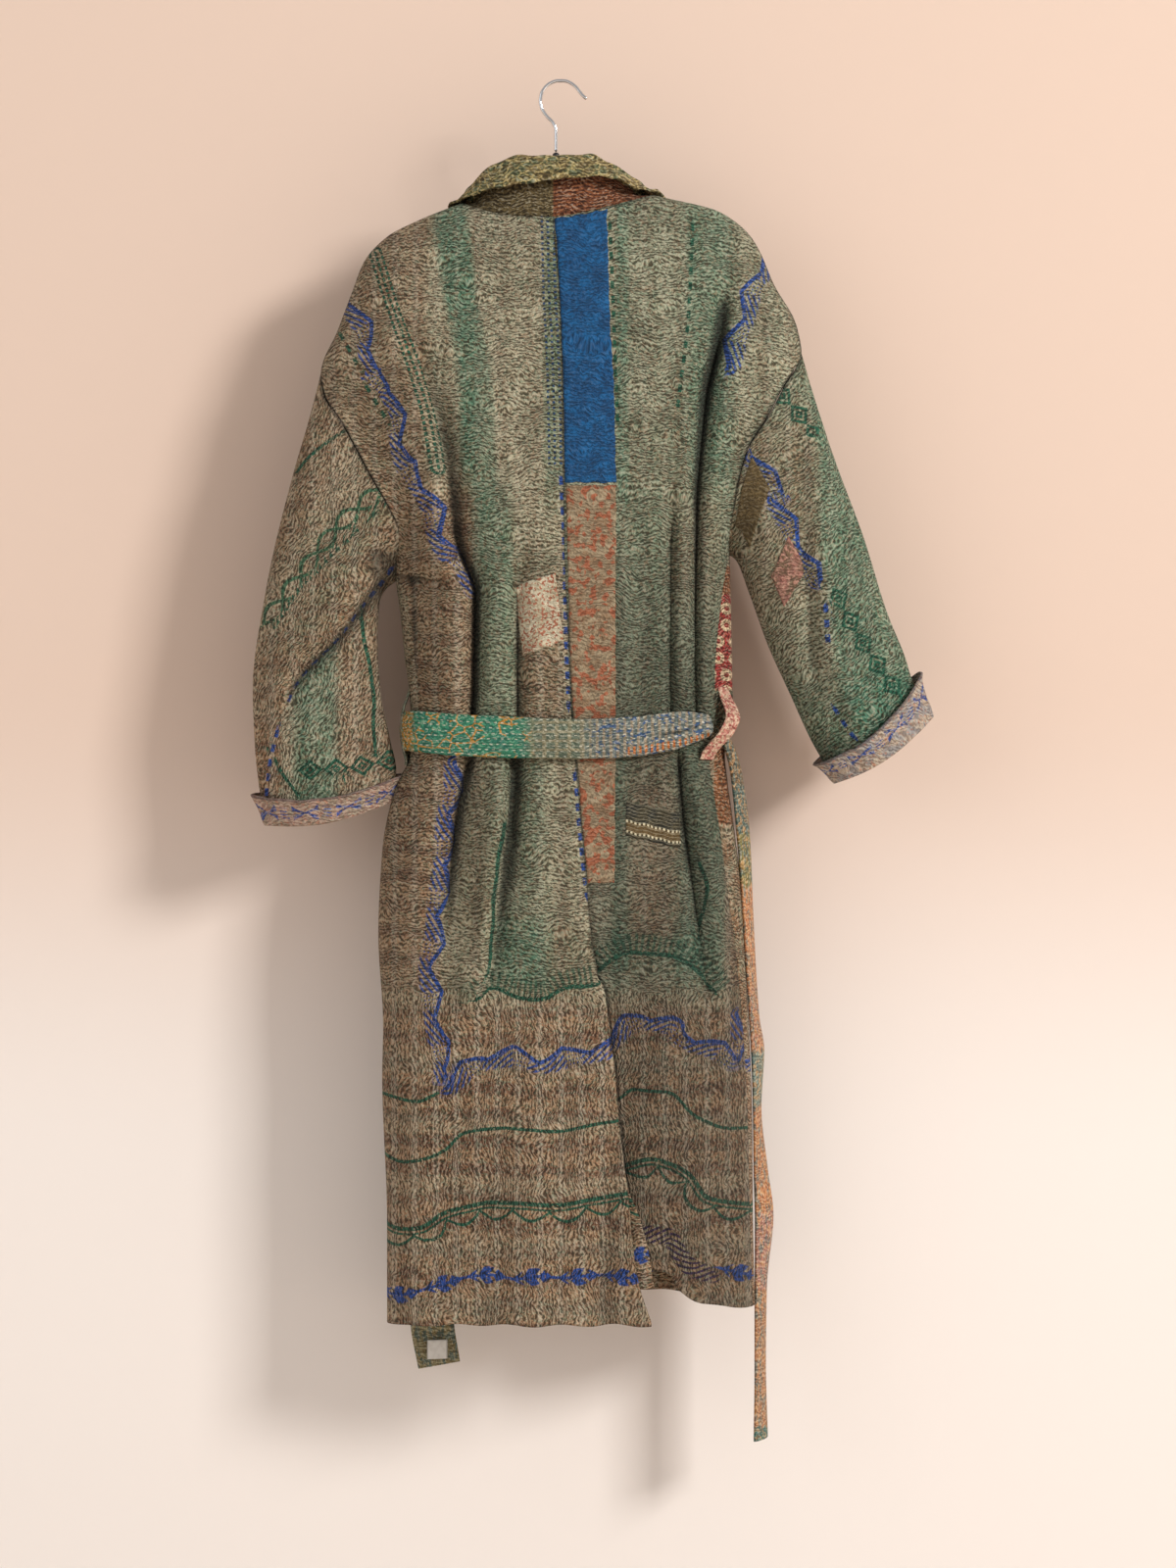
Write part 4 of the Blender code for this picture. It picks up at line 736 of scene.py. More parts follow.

# %% [markdown]
# ## Backs, fronts and the vent
# Each panel is a part of the body's ring. Its dye is painted by soft windows in column and row, and
# its borders follow drawn lines. Painted shade lies in each deep fold, beside the edge of the vent and
# over the lower backs, the right one most, and a dark line runs along the middle seam and the armholes.
# The fronts follow the same ring and carry the borders round.

# %% Dye of the backs
BACK_BORDERS = {
    "left": [
        (7, 11.0, [(560, 222), (562, 300), (566, 380), (568, 480)]),
        (2, 13.0, [(360, 310), (378, 350), (380, 380), (400, 400), (408, 430), (415, 470), (440, 510),
                   (455, 560), (475, 580), (483, 600)]),
        (11, 9.0, [(384, 258), (397, 300), (410, 340), (425, 385), (438, 430), (447, 480)]),
        (8, 5.0, [(348, 340), (370, 380)]),
        (8, 5.0, [(375, 395), (400, 435)]),
        (9, 5.0, [(572, 490), (575, 560), (577, 650), (580, 722)]),
        (9, 5.0, [(586, 790), (592, 860), (598, 914)]),
        (2, 13.0, [(466, 780), (465, 800), (457, 841), (455, 882), (450, 912), (447, 953), (441, 987),
                   (445, 1024), (449, 1055), (457, 1084), (455, 1100)]),
        (2, 15.0, [(457, 1106), (475, 1090), (494, 1078), (523, 1074), (555, 1080), (584, 1073),
                   (625, 1065)]),
        (3, 4.0, [(388, 1116), (410, 1120), (428, 1122), (448, 1114)]),
        (3, 4.0, [(388, 1176), (410, 1184), (437, 1180), (455, 1171), (475, 1154), (504, 1148), (537, 1148),
                  (564, 1151), (589, 1147), (632, 1139)]),
        (4, 21.0, [(388, 1247), (410, 1253), (428, 1251), (455, 1235), (477, 1228), (504, 1223),
                   (537, 1223), (566, 1225), (604, 1219), (642, 1213)]),
        (1, 15.0, [(388, 1316), (403, 1321), (415, 1319), (437, 1312), (459, 1305), (482, 1298),
                   (504, 1296), (526, 1299), (549, 1296), (578, 1298), (604, 1295), (650, 1299)]),
        (12, 20.0, [(488, 1016), (506, 1008), (527, 1014), (555, 1017), (580, 1006), (608, 1001)]),
        (3, 3.0, [(513, 840), (504, 902), (498, 984), (488, 1014)]),
    ],
    "right": [
        (2, 15.0, [(620, 1060), (642, 1041), (658, 1037), (682, 1041), (693, 1055), (723, 1065),
                   (746, 1080)]),
        (2, 8.0, [(751, 1035), (751, 1082)]),
        (12, 20.0, [(609, 990), (646, 969), (682, 975), (711, 990), (729, 1012)]),
        (3, 4.0, [(632, 1118), (648, 1109), (680, 1112), (712, 1139), (734, 1148), (764, 1152)]),
        (4, 21.0, [(638, 1186), (664, 1179), (683, 1184), (702, 1195), (720, 1219), (766, 1230)]),
        (10, 10.0, [(656, 1254), (680, 1257), (694, 1278), (707, 1291), (726, 1297)]),
        (1, 12.0, [(731, 1291), (770, 1303)]),
        (2, 12.0, [(742, 376), (756, 330), (768, 290), (782, 264)]),
        (3, 3.0, [(714, 880), (722, 908), (716, 935), (711, 958)]),
        (8, 4.0, [(622, 230), (626, 330), (630, 440)]),
        (8, 4.0, [(706, 230), (702, 320), (690, 420)]),
    ],
}


def back_zones(side, column, row):
    """Green, brown, pale and dark amounts over a back, from soft windows in column and row."""
    upper = 1.0 - ease((row - 470.0) / 70.0)
    middle = window(row, 500.0, 750.0, 60.0)
    skirt = ease((row - 745.0) / 20.0) * (1.0 - ease((row - 985.0) / 50.0))
    foot = ease((row - 1000.0) / 40.0)
    if side == "left":
        drift = column - line([(225, 460), (300, 470), (380, 485), (450, 489), (520, 494)], row)
        green = window(drift, -17.0, 17.0, 9.0) * upper * 0.85
        green = green + window(column, 486.0, 524.0, 12.0) * middle * 0.6
        green = green + window(column, 556.0, 575.0, 8.0) * upper * 0.5
        green = green + window(column, 505.0, 560.0, 26.0) * skirt * 0.4
        green = green + window(column, 500.0, 560.0, 20.0) * window(row, 940.0, 1010.0, 30.0) * 0.4
        brown = window(column, 300.0, 438.0, 22.0) * upper * 0.55
        brown = brown + (1.0 - ease((column - 478.0) / 8.0)) * middle * 0.8
        brown = brown + window(column, 536.0, 575.0, 14.0) * window(row, 600.0, 750.0, 50.0) * 0.55
        split = line([(745, 478), (841, 466), (950, 450), (1040, 452), (1100, 470)], row)
        brown = brown + (1.0 - ease((column - split) / 7.0 + 0.5)) * skirt * 0.85
        pale = window(column, 490.0, 552.0, 16.0) * upper * 0.4
    else:
        green = window(column, 628.0, 640.0, 8.0) * upper * 0.75
        green = green + window(column, 700.0, 748.0, 18.0) * upper * 0.6
        green = green + window(column, 640.0, 700.0, 30.0) * upper * 0.2
        green = green + middle * 0.35 + window(column, 686.0, 740.0, 16.0) * skirt * 0.5
        green = green + window(column, 624.0, 640.0, 8.0) * skirt * 0.5
        green = green + window(column, 612.0, 725.0, 30.0) * window(row, 945.0, 990.0, 26.0) * 0.35
        brown = window(column, 680.0, 735.0, 24.0) * window(row, 500.0, 620.0, 60.0) * 0.2
        brown = brown + window(column, 738.0, 765.0, 10.0) * skirt * 0.7
        brown = brown + window(column, 642.0, 690.0, 20.0) * window(row, 800.0, 960.0, 60.0) * 0.45
        pale = window(column, 642.0, 690.0, 20.0) * upper * 0.2
    brown = brown + foot * 0.95
    pale = pale + foot * window((row / 62.0) % 1.0, 0.30, 0.62, 0.12) * 0.35
    green = green * (1.0 - foot)
    return np.clip(np.stack([green, brown, pale, np.zeros_like(green)], axis=-1), 0.0, 1.0)


print("border lines on the backs:", {side: len(lines) for side, lines in BACK_BORDERS.items()})

# %% Back panels
def vent_share(side, row):
    """Inner edge of a back as a share of its width: 0 at the seam, the vent's edge below it."""
    inner = share(side, line(VENT[side], row), row)
    return np.where(row <= VENT_TOP, 0.0, inner)


def panel_rows(side, count):
    """Rows from the shoulder to the hem, evenly spaced."""
    return np.linspace(TOP[side], HEM[side], count)


def back_angles(side, row, count):
    """Angles across a back, from its inner edge to the side seam or the armhole."""
    width = np.abs(line(SIDE[side], row) - line(MIDDLE, row)) / UNITS
    gap = 0.0002 / width
    start = vent_share(side, row) + gap
    end = np.where(row < UNDERARM[side], 1.0, line(SIDE_SEAM[side], row))
    f = np.linspace(0.0, 1.0, count)
    f = 1.0 - (1.0 - f) ** 1.25
    s = start[:, None] + (end - start)[:, None] * f[None, :]
    return to_angle(np.minimum(s, 1.0))


def core_line(points):
    """The middle line of the coat at the height of each point, which cloth faces away from."""
    core = points.copy()
    core[..., 0] *= 0.5
    core[..., 1] = 0.0
    return core


# Painted shade over the lower backs, from row 480 down, far stronger on the right back than the left.
LOWER_BACK_SHADE = {"left": 0.06, "right": 0.46}
BACK_WASH = {"left": (rgb(184, 176, 148), rgb(138, 132, 106)),
             "right": (rgb(166, 164, 138), rgb(126, 124, 100))}
for side, wash in BACK_WASH.items():
    rows = panel_rows(side, 400)
    angles = back_angles(side, rows, 104)
    points = body(side, angles, rows[:, None])
    column, row = seen(points)
    material = quilted("quilted_back_" + side, wash, foot=FOOT_ROW)
    zones = back_zones(side, column, row)
    folds = fold_height(side, column, row, np.zeros_like(column))
    # Painted shade in the deep folds and over the lower back.
    zones[..., 3] = np.maximum(0.82 * ease((-folds - 1.5) / 8.5), LOWER_BACK_SHADE[side] * ease((row - 480.0) / 220.0))
    seam = np.exp(-((column - line(MIDDLE, row)) / 1.5) ** 2) * (row < VENT_TOP)
    hole = ease((np.sin(angles) - 0.985) / 0.015) * (rows < UNDERARM[side])[:, None]
    zones[..., 3] = np.maximum(zones[..., 3], np.maximum(0.8 * seam, 0.6 * hole))
    # Painted shadow cast by the left back's vent edge onto the right back.
    if side == "right":
        beside = np.exp(-((column - line(VENT["left"], row) - 1.5) / 2.4) ** 2) * (row > VENT_TOP)
        zones[..., 3] = np.maximum(zones[..., 3], 0.85 * beside)
    weave("panel_back_" + side, points, core_line(points), material,
                        bands=nearest(BACK_BORDERS[side], column, row), zones=zones)
    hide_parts("back_" + side)
    "back_" + side

# %% Front panels
FRONT_BORDERS = {
    "left": [(1, 15.0, [(320, 1316), (560, 1300)]), (4, 21.0, [(300, 1240), (396, 1250)]),
             (2, 15.0, [(250, 1090), (396, 1100)])],
    "right": [(1, 15.0, [(770, 1303), (960, 1310)]), (4, 21.0, [(766, 1230), (960, 1240)]),
              (2, 15.0, [(760, 1082), (960, 1090)])],
}


def front_prints(c, colour):
    """The prints that show beside the right back: rust, red with ringed dots, olive, then orange-brown."""
    beside = c.column.rise(726.0, 728.0)
    orange = (c.row - 592.0).within(13.0, 4.0)
    red = (c.row - 655.0).within(48.0, 3.0)
    olive = (c.row - 735.0).within(28.0, 6.0)
    strip = (c.row - 800.0).within(38.0, 8.0)
    spot_u = (c.column / 17.0 + (c.row / 34.0).math("FLOOR") * 0.5).part() - 0.5
    spot_v = (c.row / 17.0).part() - 0.5
    ring = ((spot_u * spot_u + spot_v * spot_v).power(0.5) * 17.0 - 4.4).within(1.5, 0.8)
    scarlet = mix(ring, rgb(158, 34, 34), rgb(226, 196, 160))
    colour = mix(orange * beside, colour, rgb(142, 84, 48))
    colour = mix(red * beside, colour, scarlet)
    colour = mix(olive * beside, colour, rgb(70, 66, 44))
    colour = mix(strip * beside, colour, rgb(140, 84, 44))
    lower = c.row.rise(840.0, 870.0) * beside * c.cloud(14.0, 30.0, 51.0).rise(0.4, 0.6)
    return mix(lower * 0.7, colour, rgb(136, 90, 52))


for side in ("left", "right"):
    rows = panel_rows(side, 240)
    width = np.abs(line(SIDE[side], rows) - line(MIDDLE, rows)) / UNITS
    seam = np.where(rows < UNDERARM[side], 1.0, line(SIDE_SEAM[side], rows))
    start = np.where(seam > 0.999, np.pi / 2 + 1e-5, to_angle(np.minimum(seam + 0.0002 / width, 1.0)))
    end = to_angle(share(side, line(FRONT_EDGE[side], rows), rows), True) - 0.001
    f = np.linspace(0.0, 1.0, 80)
    angles = start[:, None] + (end - start)[:, None] * f[None, :]
    points = body(side, angles, rows[:, None])
    column, row = seen(points)
    outline = line(SIDE[side], rows)[:, None]
    unrolled = np.where(angles > np.pi / 2, 2.0 * outline - column, column)
    brown = 0.45 + 0.5 * ease((row - 1000.0) / 60.0)
    zones = np.stack([0.3 + 0.3 * np.sin(unrolled / 40.0), brown, np.full_like(row, 0.15),
                      np.zeros_like(row)], axis=-1)
    material = quilted("quilted_front_" + side, extra=front_prints if side == "right" else None)
    weave("panel_front_" + side, points, core_line(points), material,
                         coords=np.stack([unrolled, row], axis=-1),
                         bands=nearest(FRONT_BORDERS[side], unrolled, row), zones=np.clip(zones, 0.0, 1.0))
    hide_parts("front_" + side)
    "front_" + side

# %% Flap of the vent
FLAP_RIGHT = [(1004, 607), (1100, 622), (1208, 639), (1240, 652), (1273, 661), (1310, 668)]
rows = np.linspace(1004.0, 1309.0, 90)[:, None]
column = line(FLAP_RIGHT, rows) - 26.0 + np.linspace(0.0, 26.0, 12)[None, :]
angles = to_angle(share("left", column, rows))
points = body("left", angles, rows) - body_normal("left", angles, rows) * (CLOTH + 0.0018)
row = HOOK_ROW - points[..., 2] * UNITS
flap_borders = [(1, 14.0, [(630, 1282), (655, 1275), (680, 1270)]), (4, 21.0, [(600, 1230), (670, 1215)])]
flap_zones = np.zeros(column.shape + (4,))
flap_zones[..., 1] = 0.9
FLAP = weave("flap_of_vent", points, core_line(points), quilted("quilted_flap"), cloth=0.0014, offset=-1.0,
             bands=nearest(flap_borders, column, row), zones=flap_zones)
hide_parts("vent_flap")

# %% [markdown]
# ## Sleeves
# A sleeve is a tube between an outer and an inner line. Its first ring is the armhole's edge, so
# that it meets the body without a gap. The cuff is a strip turned up round its end: a profile of
# six knots carried round the last ring.

# %% Sleeve lines (share of the length, column, row) and creases
OUTER_LINE = {
    "left": [(0, 328, 378), (0.1, 318, 418), (0.3, 296, 495), (0.5, 272, 598), (0.7, 258, 700),
             (0.85, 260, 760), (0.94, 265, 806), (1, 270, 836)],
    "right": [(0, 817, 358), (0.1, 829, 400), (0.3, 852, 470), (0.5, 880, 545), (0.7, 904, 622),
              (0.85, 924, 672), (0.93, 930, 692), (1, 949, 727)],
}
INNER_LINE = {
    "left": [(0, 405, 583), (0.06, 400, 590), (0.12, 391, 597), (0.2, 383, 612), (0.4, 381, 650),
             (0.6, 384, 705), (0.8, 394, 756), (0.94, 400, 788), (1, 398, 813)],
    "right": [(0, 743, 560), (0.08, 754, 568), (0.2, 768, 602), (0.4, 787, 655), (0.6, 810, 706),
              (0.8, 831, 752), (0.93, 843, 774), (1, 854, 795)],
}
SLEEVE_DEPTH = {"left": [(0, 34), (0.2, 36), (0.5, 33), (0.8, 32), (1, 31)],
                "right": [(0, 34), (0.2, 37), (0.5, 36), (0.8, 36), (1, 36)]}
SLEEVE_CREASES = {
    "left": [
        ([(394, 545), (376, 578), (354, 606), (331, 636), (313, 655), (297, 671), (282, 693), (276, 720)],
         24.0, 8.0,
         [(0, 0), (0.15, 7), (0.6, 8), (0.9, 5), (1, 0)]),
        ([(404, 560), (385, 590), (368, 616), (345, 648), (326, 667), (311, 682), (296, 703), (290, 722),
          (286, 740)], 3.5, 13.0, [(0, -3), (0.2, -9), (0.7, -9), (1, 0)]),
        ([(345, 440), (318, 500), (296, 560)], 12.0, 12.0, [(0, 0), (0.5, 3), (1, 0)]),
        ([(372, 470), (345, 520), (318, 575), (290, 640)], 8.0, 8.0, [(0, 0), (0.5, -4), (1, 0)]),
        ([(380, 500), (362, 540), (340, 580)], 7.0, 7.0, [(0, 0), (0.5, 3), (1, 0)]),
        ([(377, 640), (382, 700), (388, 760)], 6.0, 8.0, [(0, 0), (0.5, 3.5), (1, 0)]),
        ([(340, 690), (345, 780)], 10.0, 10.0, [(0, 0), (0.5, -3), (1, 0)]),
        ([(310, 720), (316, 790)], 8.0, 8.0, [(0, 0), (0.5, 2.5), (1, 0)]),
    ],
    "right": [
        ([(824, 398), (832, 459), (836, 515), (836, 570), (843, 604), (844, 648), (851, 676), (865, 707),
          (879, 755)], 8.0, 12.0, [(0, 0), (0.2, 4), (0.7, 6), (1, 2)]),
        ([(812, 400), (816, 460), (820, 520), (820, 575), (826, 610), (828, 660), (836, 700), (850, 745)],
         8.0, 6.0,
         [(0, 0), (0.3, -3.5), (0.8, -5), (1, 0)]),
        ([(770, 470), (780, 540), (800, 610), (818, 660)], 10.0, 10.0, [(0, 0), (0.5, 3), (1, 0)]),
        ([(858, 520), (872, 580), (888, 640)], 9.0, 9.0, [(0, 0), (0.5, -3.5), (1, 0)]),
        ([(800, 655), (822, 705), (838, 745)], 6.0, 8.0, [(0, 0), (0.5, -3), (1, 0)]),
    ],
}


def sleeve(side, turn, v):
    """Point of a sleeve: turn 0 is its outer line, 1 its inner line, 0 to 1 the back and 1 to 2 the front."""
    turn, v = np.broadcast_arrays(np.asarray(turn, float), np.asarray(v, float))
    c = (1.0 - np.cos(np.pi * turn)) / 2.0
    arm_row = TIP[side] + (UNDERARM[side] - TIP[side]) * c
    outer, inner = np.array(OUTER_LINE[side]), np.array(INNER_LINE[side])
    ends = [line(outer[:, [0, k]], v) * (1.0 - c) + line(inner[:, [0, k]], v) * c for k in (1, 2)]
    first = [outer[0, k] * (1.0 - c) + inner[0, k] * c for k in (1, 2)]
    hold = 1.0 - ease(v / 0.4)
    column = ends[0] + (line(SIDE[side], arm_row) - first[0]) * hold
    row = ends[1] + (arm_row - first[1]) * hold
    back = (turn % 2.0) <= 1.0
    swell = np.abs(np.sin(np.pi * turn)) ** 0.9 * line(SLEEVE_DEPTH[side], v)
    blend = ease(v / 0.18)
    depth = half_opening(side, arm_row) * (1.0 - blend) + swell * blend
    fade = np.sin(np.pi * np.clip(c, 0.0, 1.0)) ** 0.5
    rumple = 0.7 * np.sin(column / 9.0 + 2.0 * np.sin(row / 37.0))
    rumple = rumple * np.sin(row / 12.0 + 1.4 * np.sin(column / 19.0))
    folds = np.where(back, creases(SLEEVE_CREASES[side], column, row), 0.0)
    depth = depth + folds * fade * blend + rumple * blend
    dip = 9.0 * ease((v - 0.6) / 0.4) * np.sin(np.pi * c)
    row = row + np.where(back, dip, -0.3 * dip)
    return place(column, row, np.where(back, depth, -depth))


def sleeve_normal(side, turn, v):
    """Outward direction of the sleeve's cloth."""
    around = sleeve(side, turn + 0.02, v) - sleeve(side, turn - 0.02, v)
    along = sleeve(side, turn, np.minimum(v + 0.01, 1.0)) - sleeve(side, turn, np.maximum(v - 0.01, 0.0))
    n = np.cross(around, along)
    n = n / np.linalg.norm(n, axis=-1, keepdims=True)
    return -n if side == "left" else n


SLEEVE_BORDERS = {
    "left": [
        (3, 4.0, [(305, 480), (327, 457), (358, 437)]),
        (5, 13.0, [(388, 500), (366, 520), (340, 545), (310, 585), (288, 615), (272, 634)]),
        (3, 3.5, [(394, 514), (360, 547), (330, 579), (300, 612), (282, 640)]),
        (6, 11.0, [(304, 786), (350, 784), (395, 776)]),
        (3, 3.5, [(366, 618), (371, 660), (378, 703), (380, 755), (382, 772)]),
        (9, 5.0, [(398, 578), (368, 618), (345, 651), (326, 671), (302, 699), (292, 722)]),
        (9, 8.0, [(284, 745), (276, 780), (272, 815)]),
        (3, 3.5, [(274, 763), (290, 790), (305, 812)]),
        (6, 9.0, [(350, 790), (350, 792)]),
    ],
    "right": [
        (6, 14.0, [(788, 395), (808, 415), (828, 440)]),
        (2, 12.0, [(768, 466), (783, 486), (798, 504)]),
        (2, 12.0, [(791, 511), (802, 532), (816, 560), (834, 592)]),
        (9, 5.0, [(842, 618), (845, 660)]),
        (9, 6.0, [(852, 722), (862, 738), (872, 752)]),
        (6, 12.0, [(848, 600), (865, 632), (885, 665), (918, 712)]),
    ],
}


def sleeve_zones(side, column, row):
    """Green, brown, pale and dark amounts over a sleeve."""
    if side == "left":
        lower = ease((row - 640.0) / 30.0)
        fold = line([(545, 410), (616, 368), (667, 326), (703, 296), (745, 284)], row)
        below = ease((column - fold) / 6.0) * ease((row - 560.0) / 20.0)
        green = window(column + row * 0.62, 700.0, 720.0, 26.0) * (1.0 - lower) * 0.7
        green = green + window(column, 300.0, 345.0, 14.0) * below * 0.6 + 0.15
        brown = 0.55 * (1.0 - below) + window(column, 345.0, 400.0, 16.0) * below * 0.5
        brown = brown + window(column, 255.0, 286.0, 6.0) * ease((row - 735.0) / 16.0) * 0.6
        pale = window(column + row * 0.62, 640.0, 690.0, 30.0) * (1.0 - lower) * 0.4
        # Painted shade under the fold at the left underarm.
        dark = window(column, 376.0, 412.0, 8.0) * window(row, 560.0, 590.0, 12.0) * 0.6
    else:
        crest = line([(398, 824), (459, 832), (570, 836), (604, 843), (676, 851), (755, 879)], row)
        right = ease((column - crest) / 10.0 + 0.5)
        green = 0.25 + 0.45 * right + window(row, 690.0, 780.0, 40.0) * 0.3
        brown = (1.0 - right) * window(row, 430.0, 620.0, 60.0) * 0.35
        pale = (1.0 - right) * window(row, 560.0, 700.0, 60.0) * 0.35
        # The right sleeve is darker between rows 735 and 790.
        dark = ease((row - 735.0) / 50.0) * 0.45 * (1.0 - ease((row - 790.0) / 60.0))
    return np.clip(np.stack([green, brown, pale, dark], axis=-1), 0.0, 1.0)


print("left cuff is at:", sleeve("left", 0.5, 1.0).round(3))

# %% Sleeve tubes
SLEEVE_WASH = {"left": (rgb(184, 166, 140), rgb(136, 118, 92)),
               "right": (rgb(164, 160, 134), rgb(120, 120, 96))}
for side, wash in SLEEVE_WASH.items():
    v = np.linspace(0.0015, 1.0, 200)[:, None]
    turn = np.linspace(1.0, 3.0, 97)[None, :]
    points = sleeve(side, turn, v)
    column, row = seen(points)
    core = points.mean(axis=1, keepdims=True)
    zones = sleeve_zones(side, column, row)
    folds = creases(SLEEVE_CREASES[side], column, row)
    # Painted shade in the deep creases; the next line adds a dark seam line at the armhole.
    zones[..., 3] = np.maximum(zones[..., 3], 0.8 * ease((-folds - 1.5) / 8.0) * ease(v / 0.1))
    zones[..., 3] = np.maximum(zones[..., 3], 0.6 * ease((0.012 - v) / 0.008))
    way = {"left": (0.9, 0.45), "right": (0.62, 0.78)}[side]
    weave("sleeve_tube_" + side, points, core,
                          quilted("quilted_sleeve_" + side, wash, way=way),
                          bands=nearest(SLEEVE_BORDERS[side], column, row), zones=zones)
    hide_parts("sleeve_" + side)
    "sleeve_" + side


# %% Turned-up cuffs
def cuff_cloth(name, ground, tint):
    """Pale cloth with cross ripples, salmon flecks and cobalt motifs in a row round the cuff."""
    c = Cloth(name)
    height = quilting(c, 3.6)
    colour = mix(c.cloud(9.0, 9.0, 0.0, 3.0).rise(0.4, 0.6), ground, tint)
    colour = mix(c.cloud(3.2, 2.4, 7.0, 2.0).rise(0.55, 0.66) * 0.5, colour, rgb(196, 122, 88))
    x = (c.u / 41.0).part() * 41.0 - 20.5 + (c.cloud(12.0, 12.0, 71.0, 1.0) - 0.5) * 4.0
    y = c.v - 17.0 + (c.cloud(16.0, 16.0, 73.0, 1.0) - 0.5) * 8.0
    wide = x.abs() * 0.30 + 0.6
    petal = ((y.abs() - x.abs() * 0.5) / wide).within(0.55, 0.3) * (x.abs() - 7.0).within(5.0, 0.8)
    petal = petal.most((y.within(1.0, 0.5) * x.within(4.0, 0.6)))
    bars = ((y * 1.5).sin().rise(0.0, 0.6) * y.within(6.5, 1.0)) * (x.abs() - 18.5).within(1.9, 0.8)
    ink = petal.most(bars) * c.cloud(2.2, 1.6, 41.0, 1.0).rise(0.3, 0.5)
    colour = mix(ink * 0.92, colour, COBALT)
    # Painted shade in the troughs and a painted highlight on the crests.
    colour = shaded(colour, height, (0.36, 0.30, 0.28), 0.7)
    colour = mix((c.v - 1.0).within(1.0, 0.8) * 0.5, colour, rgb(60, 50, 60))
    return c.finish(colour, height, 0.92, 0.0013)


CUFF_SECTION = {"left": [(0.945, 10.5), (0.965, 7.5), (0.985, 5.2), (1.0, 4.4), (1.012, 2.6),
                         (1.014, -1.0)],
                "right": [(0.93, 13.0), (0.95, 9.5), (0.975, 6.4), (0.995, 4.8), (1.010, 2.6),
                          (1.012, -1.0)]}
for side, ground, tint in (("left", rgb(176, 148, 132), rgb(150, 134, 116)),
                           ("right", rgb(176, 160, 142), rgb(146, 142, 140))):
    section = np.array(CUFF_SECTION[side])
    knots = np.arange(len(section))
    at = np.linspace(0.0, len(section) - 1.0, 40)
    v = line(np.stack([knots, section[:, 0]], 1), at)[:, None]
    off = line(np.stack([knots, section[:, 1]], 1), at)[:, None]
    turn = np.linspace(1.0, 3.0, 161)[None, :]
    wave = 0.9 * np.sin(turn * np.pi * 5.0 + 1.0) * (1.0 - at[:, None] / 5.0)
    wave = wave + 0.5 * np.sin(turn * np.pi * 11.0)
    base = sleeve(side, turn, np.minimum(v, 1.0))
    end = sleeve(side, turn, 1.0)
    base = base + (end - sleeve(side, turn, 0.96)) * (np.maximum(v - 1.0, 0.0) / 0.04)[..., None]
    rim = (1.014 - v) / 0.07 * 0.016 * np.abs(np.sin(np.pi * turn)) * (turn > 2.0)
    base = base + (end - sleeve(side, turn, 0.96)) * (rim / 0.04)[..., None]
    points = base + sleeve_normal(side, turn, 0.97) * ((off + np.maximum(wave, -0.6)) * 0.001)[..., None]
    core = end.mean(axis=1, keepdims=True)
    weave("cuff_fold_" + side, points, core, cuff_cloth("quilted_cuff_" + side, ground, tint),
                        cloth=0.0022, offset=1.0)
    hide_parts("cuff_" + side)
    "cuff_" + side

# %% [markdown]
# ## Shawl collar
# The collar is one doubled strip that stands, rolls over and falls, so it is a section carried round
# the neck and down both front edges. Nine points run from the neck seam up the stand, over the
# roll and down to the free edge. The section moves along t: 0 at the middle of the back neck,
# 0.28 at the shoulder, 1 at the waist.

# %% Collar tables (t, column, row, depth)
ROLL = {
    "left": [(0, 566, 163, 38), (0.07, 534, 161.5, 36), (0.13, 507, 169, 29), (0.20, 484, 188, 13),
             (0.28, 475, 197.3, -5)],
    "right": [(0, 566, 163, 38), (0.07, 600, 160.5, 36), (0.13, 619, 167.5, 29), (0.20, 645, 181, 13),
              (0.28, 658, 189.2, -5)],
}
FREE = {
    "left": [(0, 566, 187, 50), (0.07, 531, 191, 48), (0.13, 506, 194, 42), (0.20, 480, 200, 26),
             (0.28, 461, 204.6, 3), (0.305, 455, 208, -20), (0.33, 452, 217, -30),
             (0.36, 450, 230, -38), (0.42, 449, 264, -50)],
    "right": [(0, 566, 187, 50), (0.07, 606, 183, 48), (0.13, 630, 185, 42), (0.20, 652, 193, 26),
              (0.28, 673, 191.4, 2), (0.305, 682, 195, -22), (0.33, 689, 206, -32),
              (0.36, 692, 221, -40), (0.42, 690, 262, -50)],
}
FRONT_ROW = [(0.33, 208), (0.45, 290), (0.6, 395), (0.8, 560), (1.0, 735)]
REVERS = [(0.33, 40), (0.45, 58), (0.6, 60), (0.8, 38), (1.0, 15)]


def unit(v):
    """v / |v|."""
    return v / np.linalg.norm(v, axis=-1, keepdims=True)


def table_point(table, t):
    """Metres of a (t, column, row, depth) table."""
    knots = np.array(table, float)
    return place(*[line(knots[:, [0, k]], t) for k in (1, 2, 3)])


def front_point(side, column, row, lift):
    """A point lift metres in front of the front panel at a column and row."""
    angle = to_angle(share(side, column, row), True)
    return body(side, angle, row) + body_normal(side, angle, row) * np.asarray(lift)[..., None]


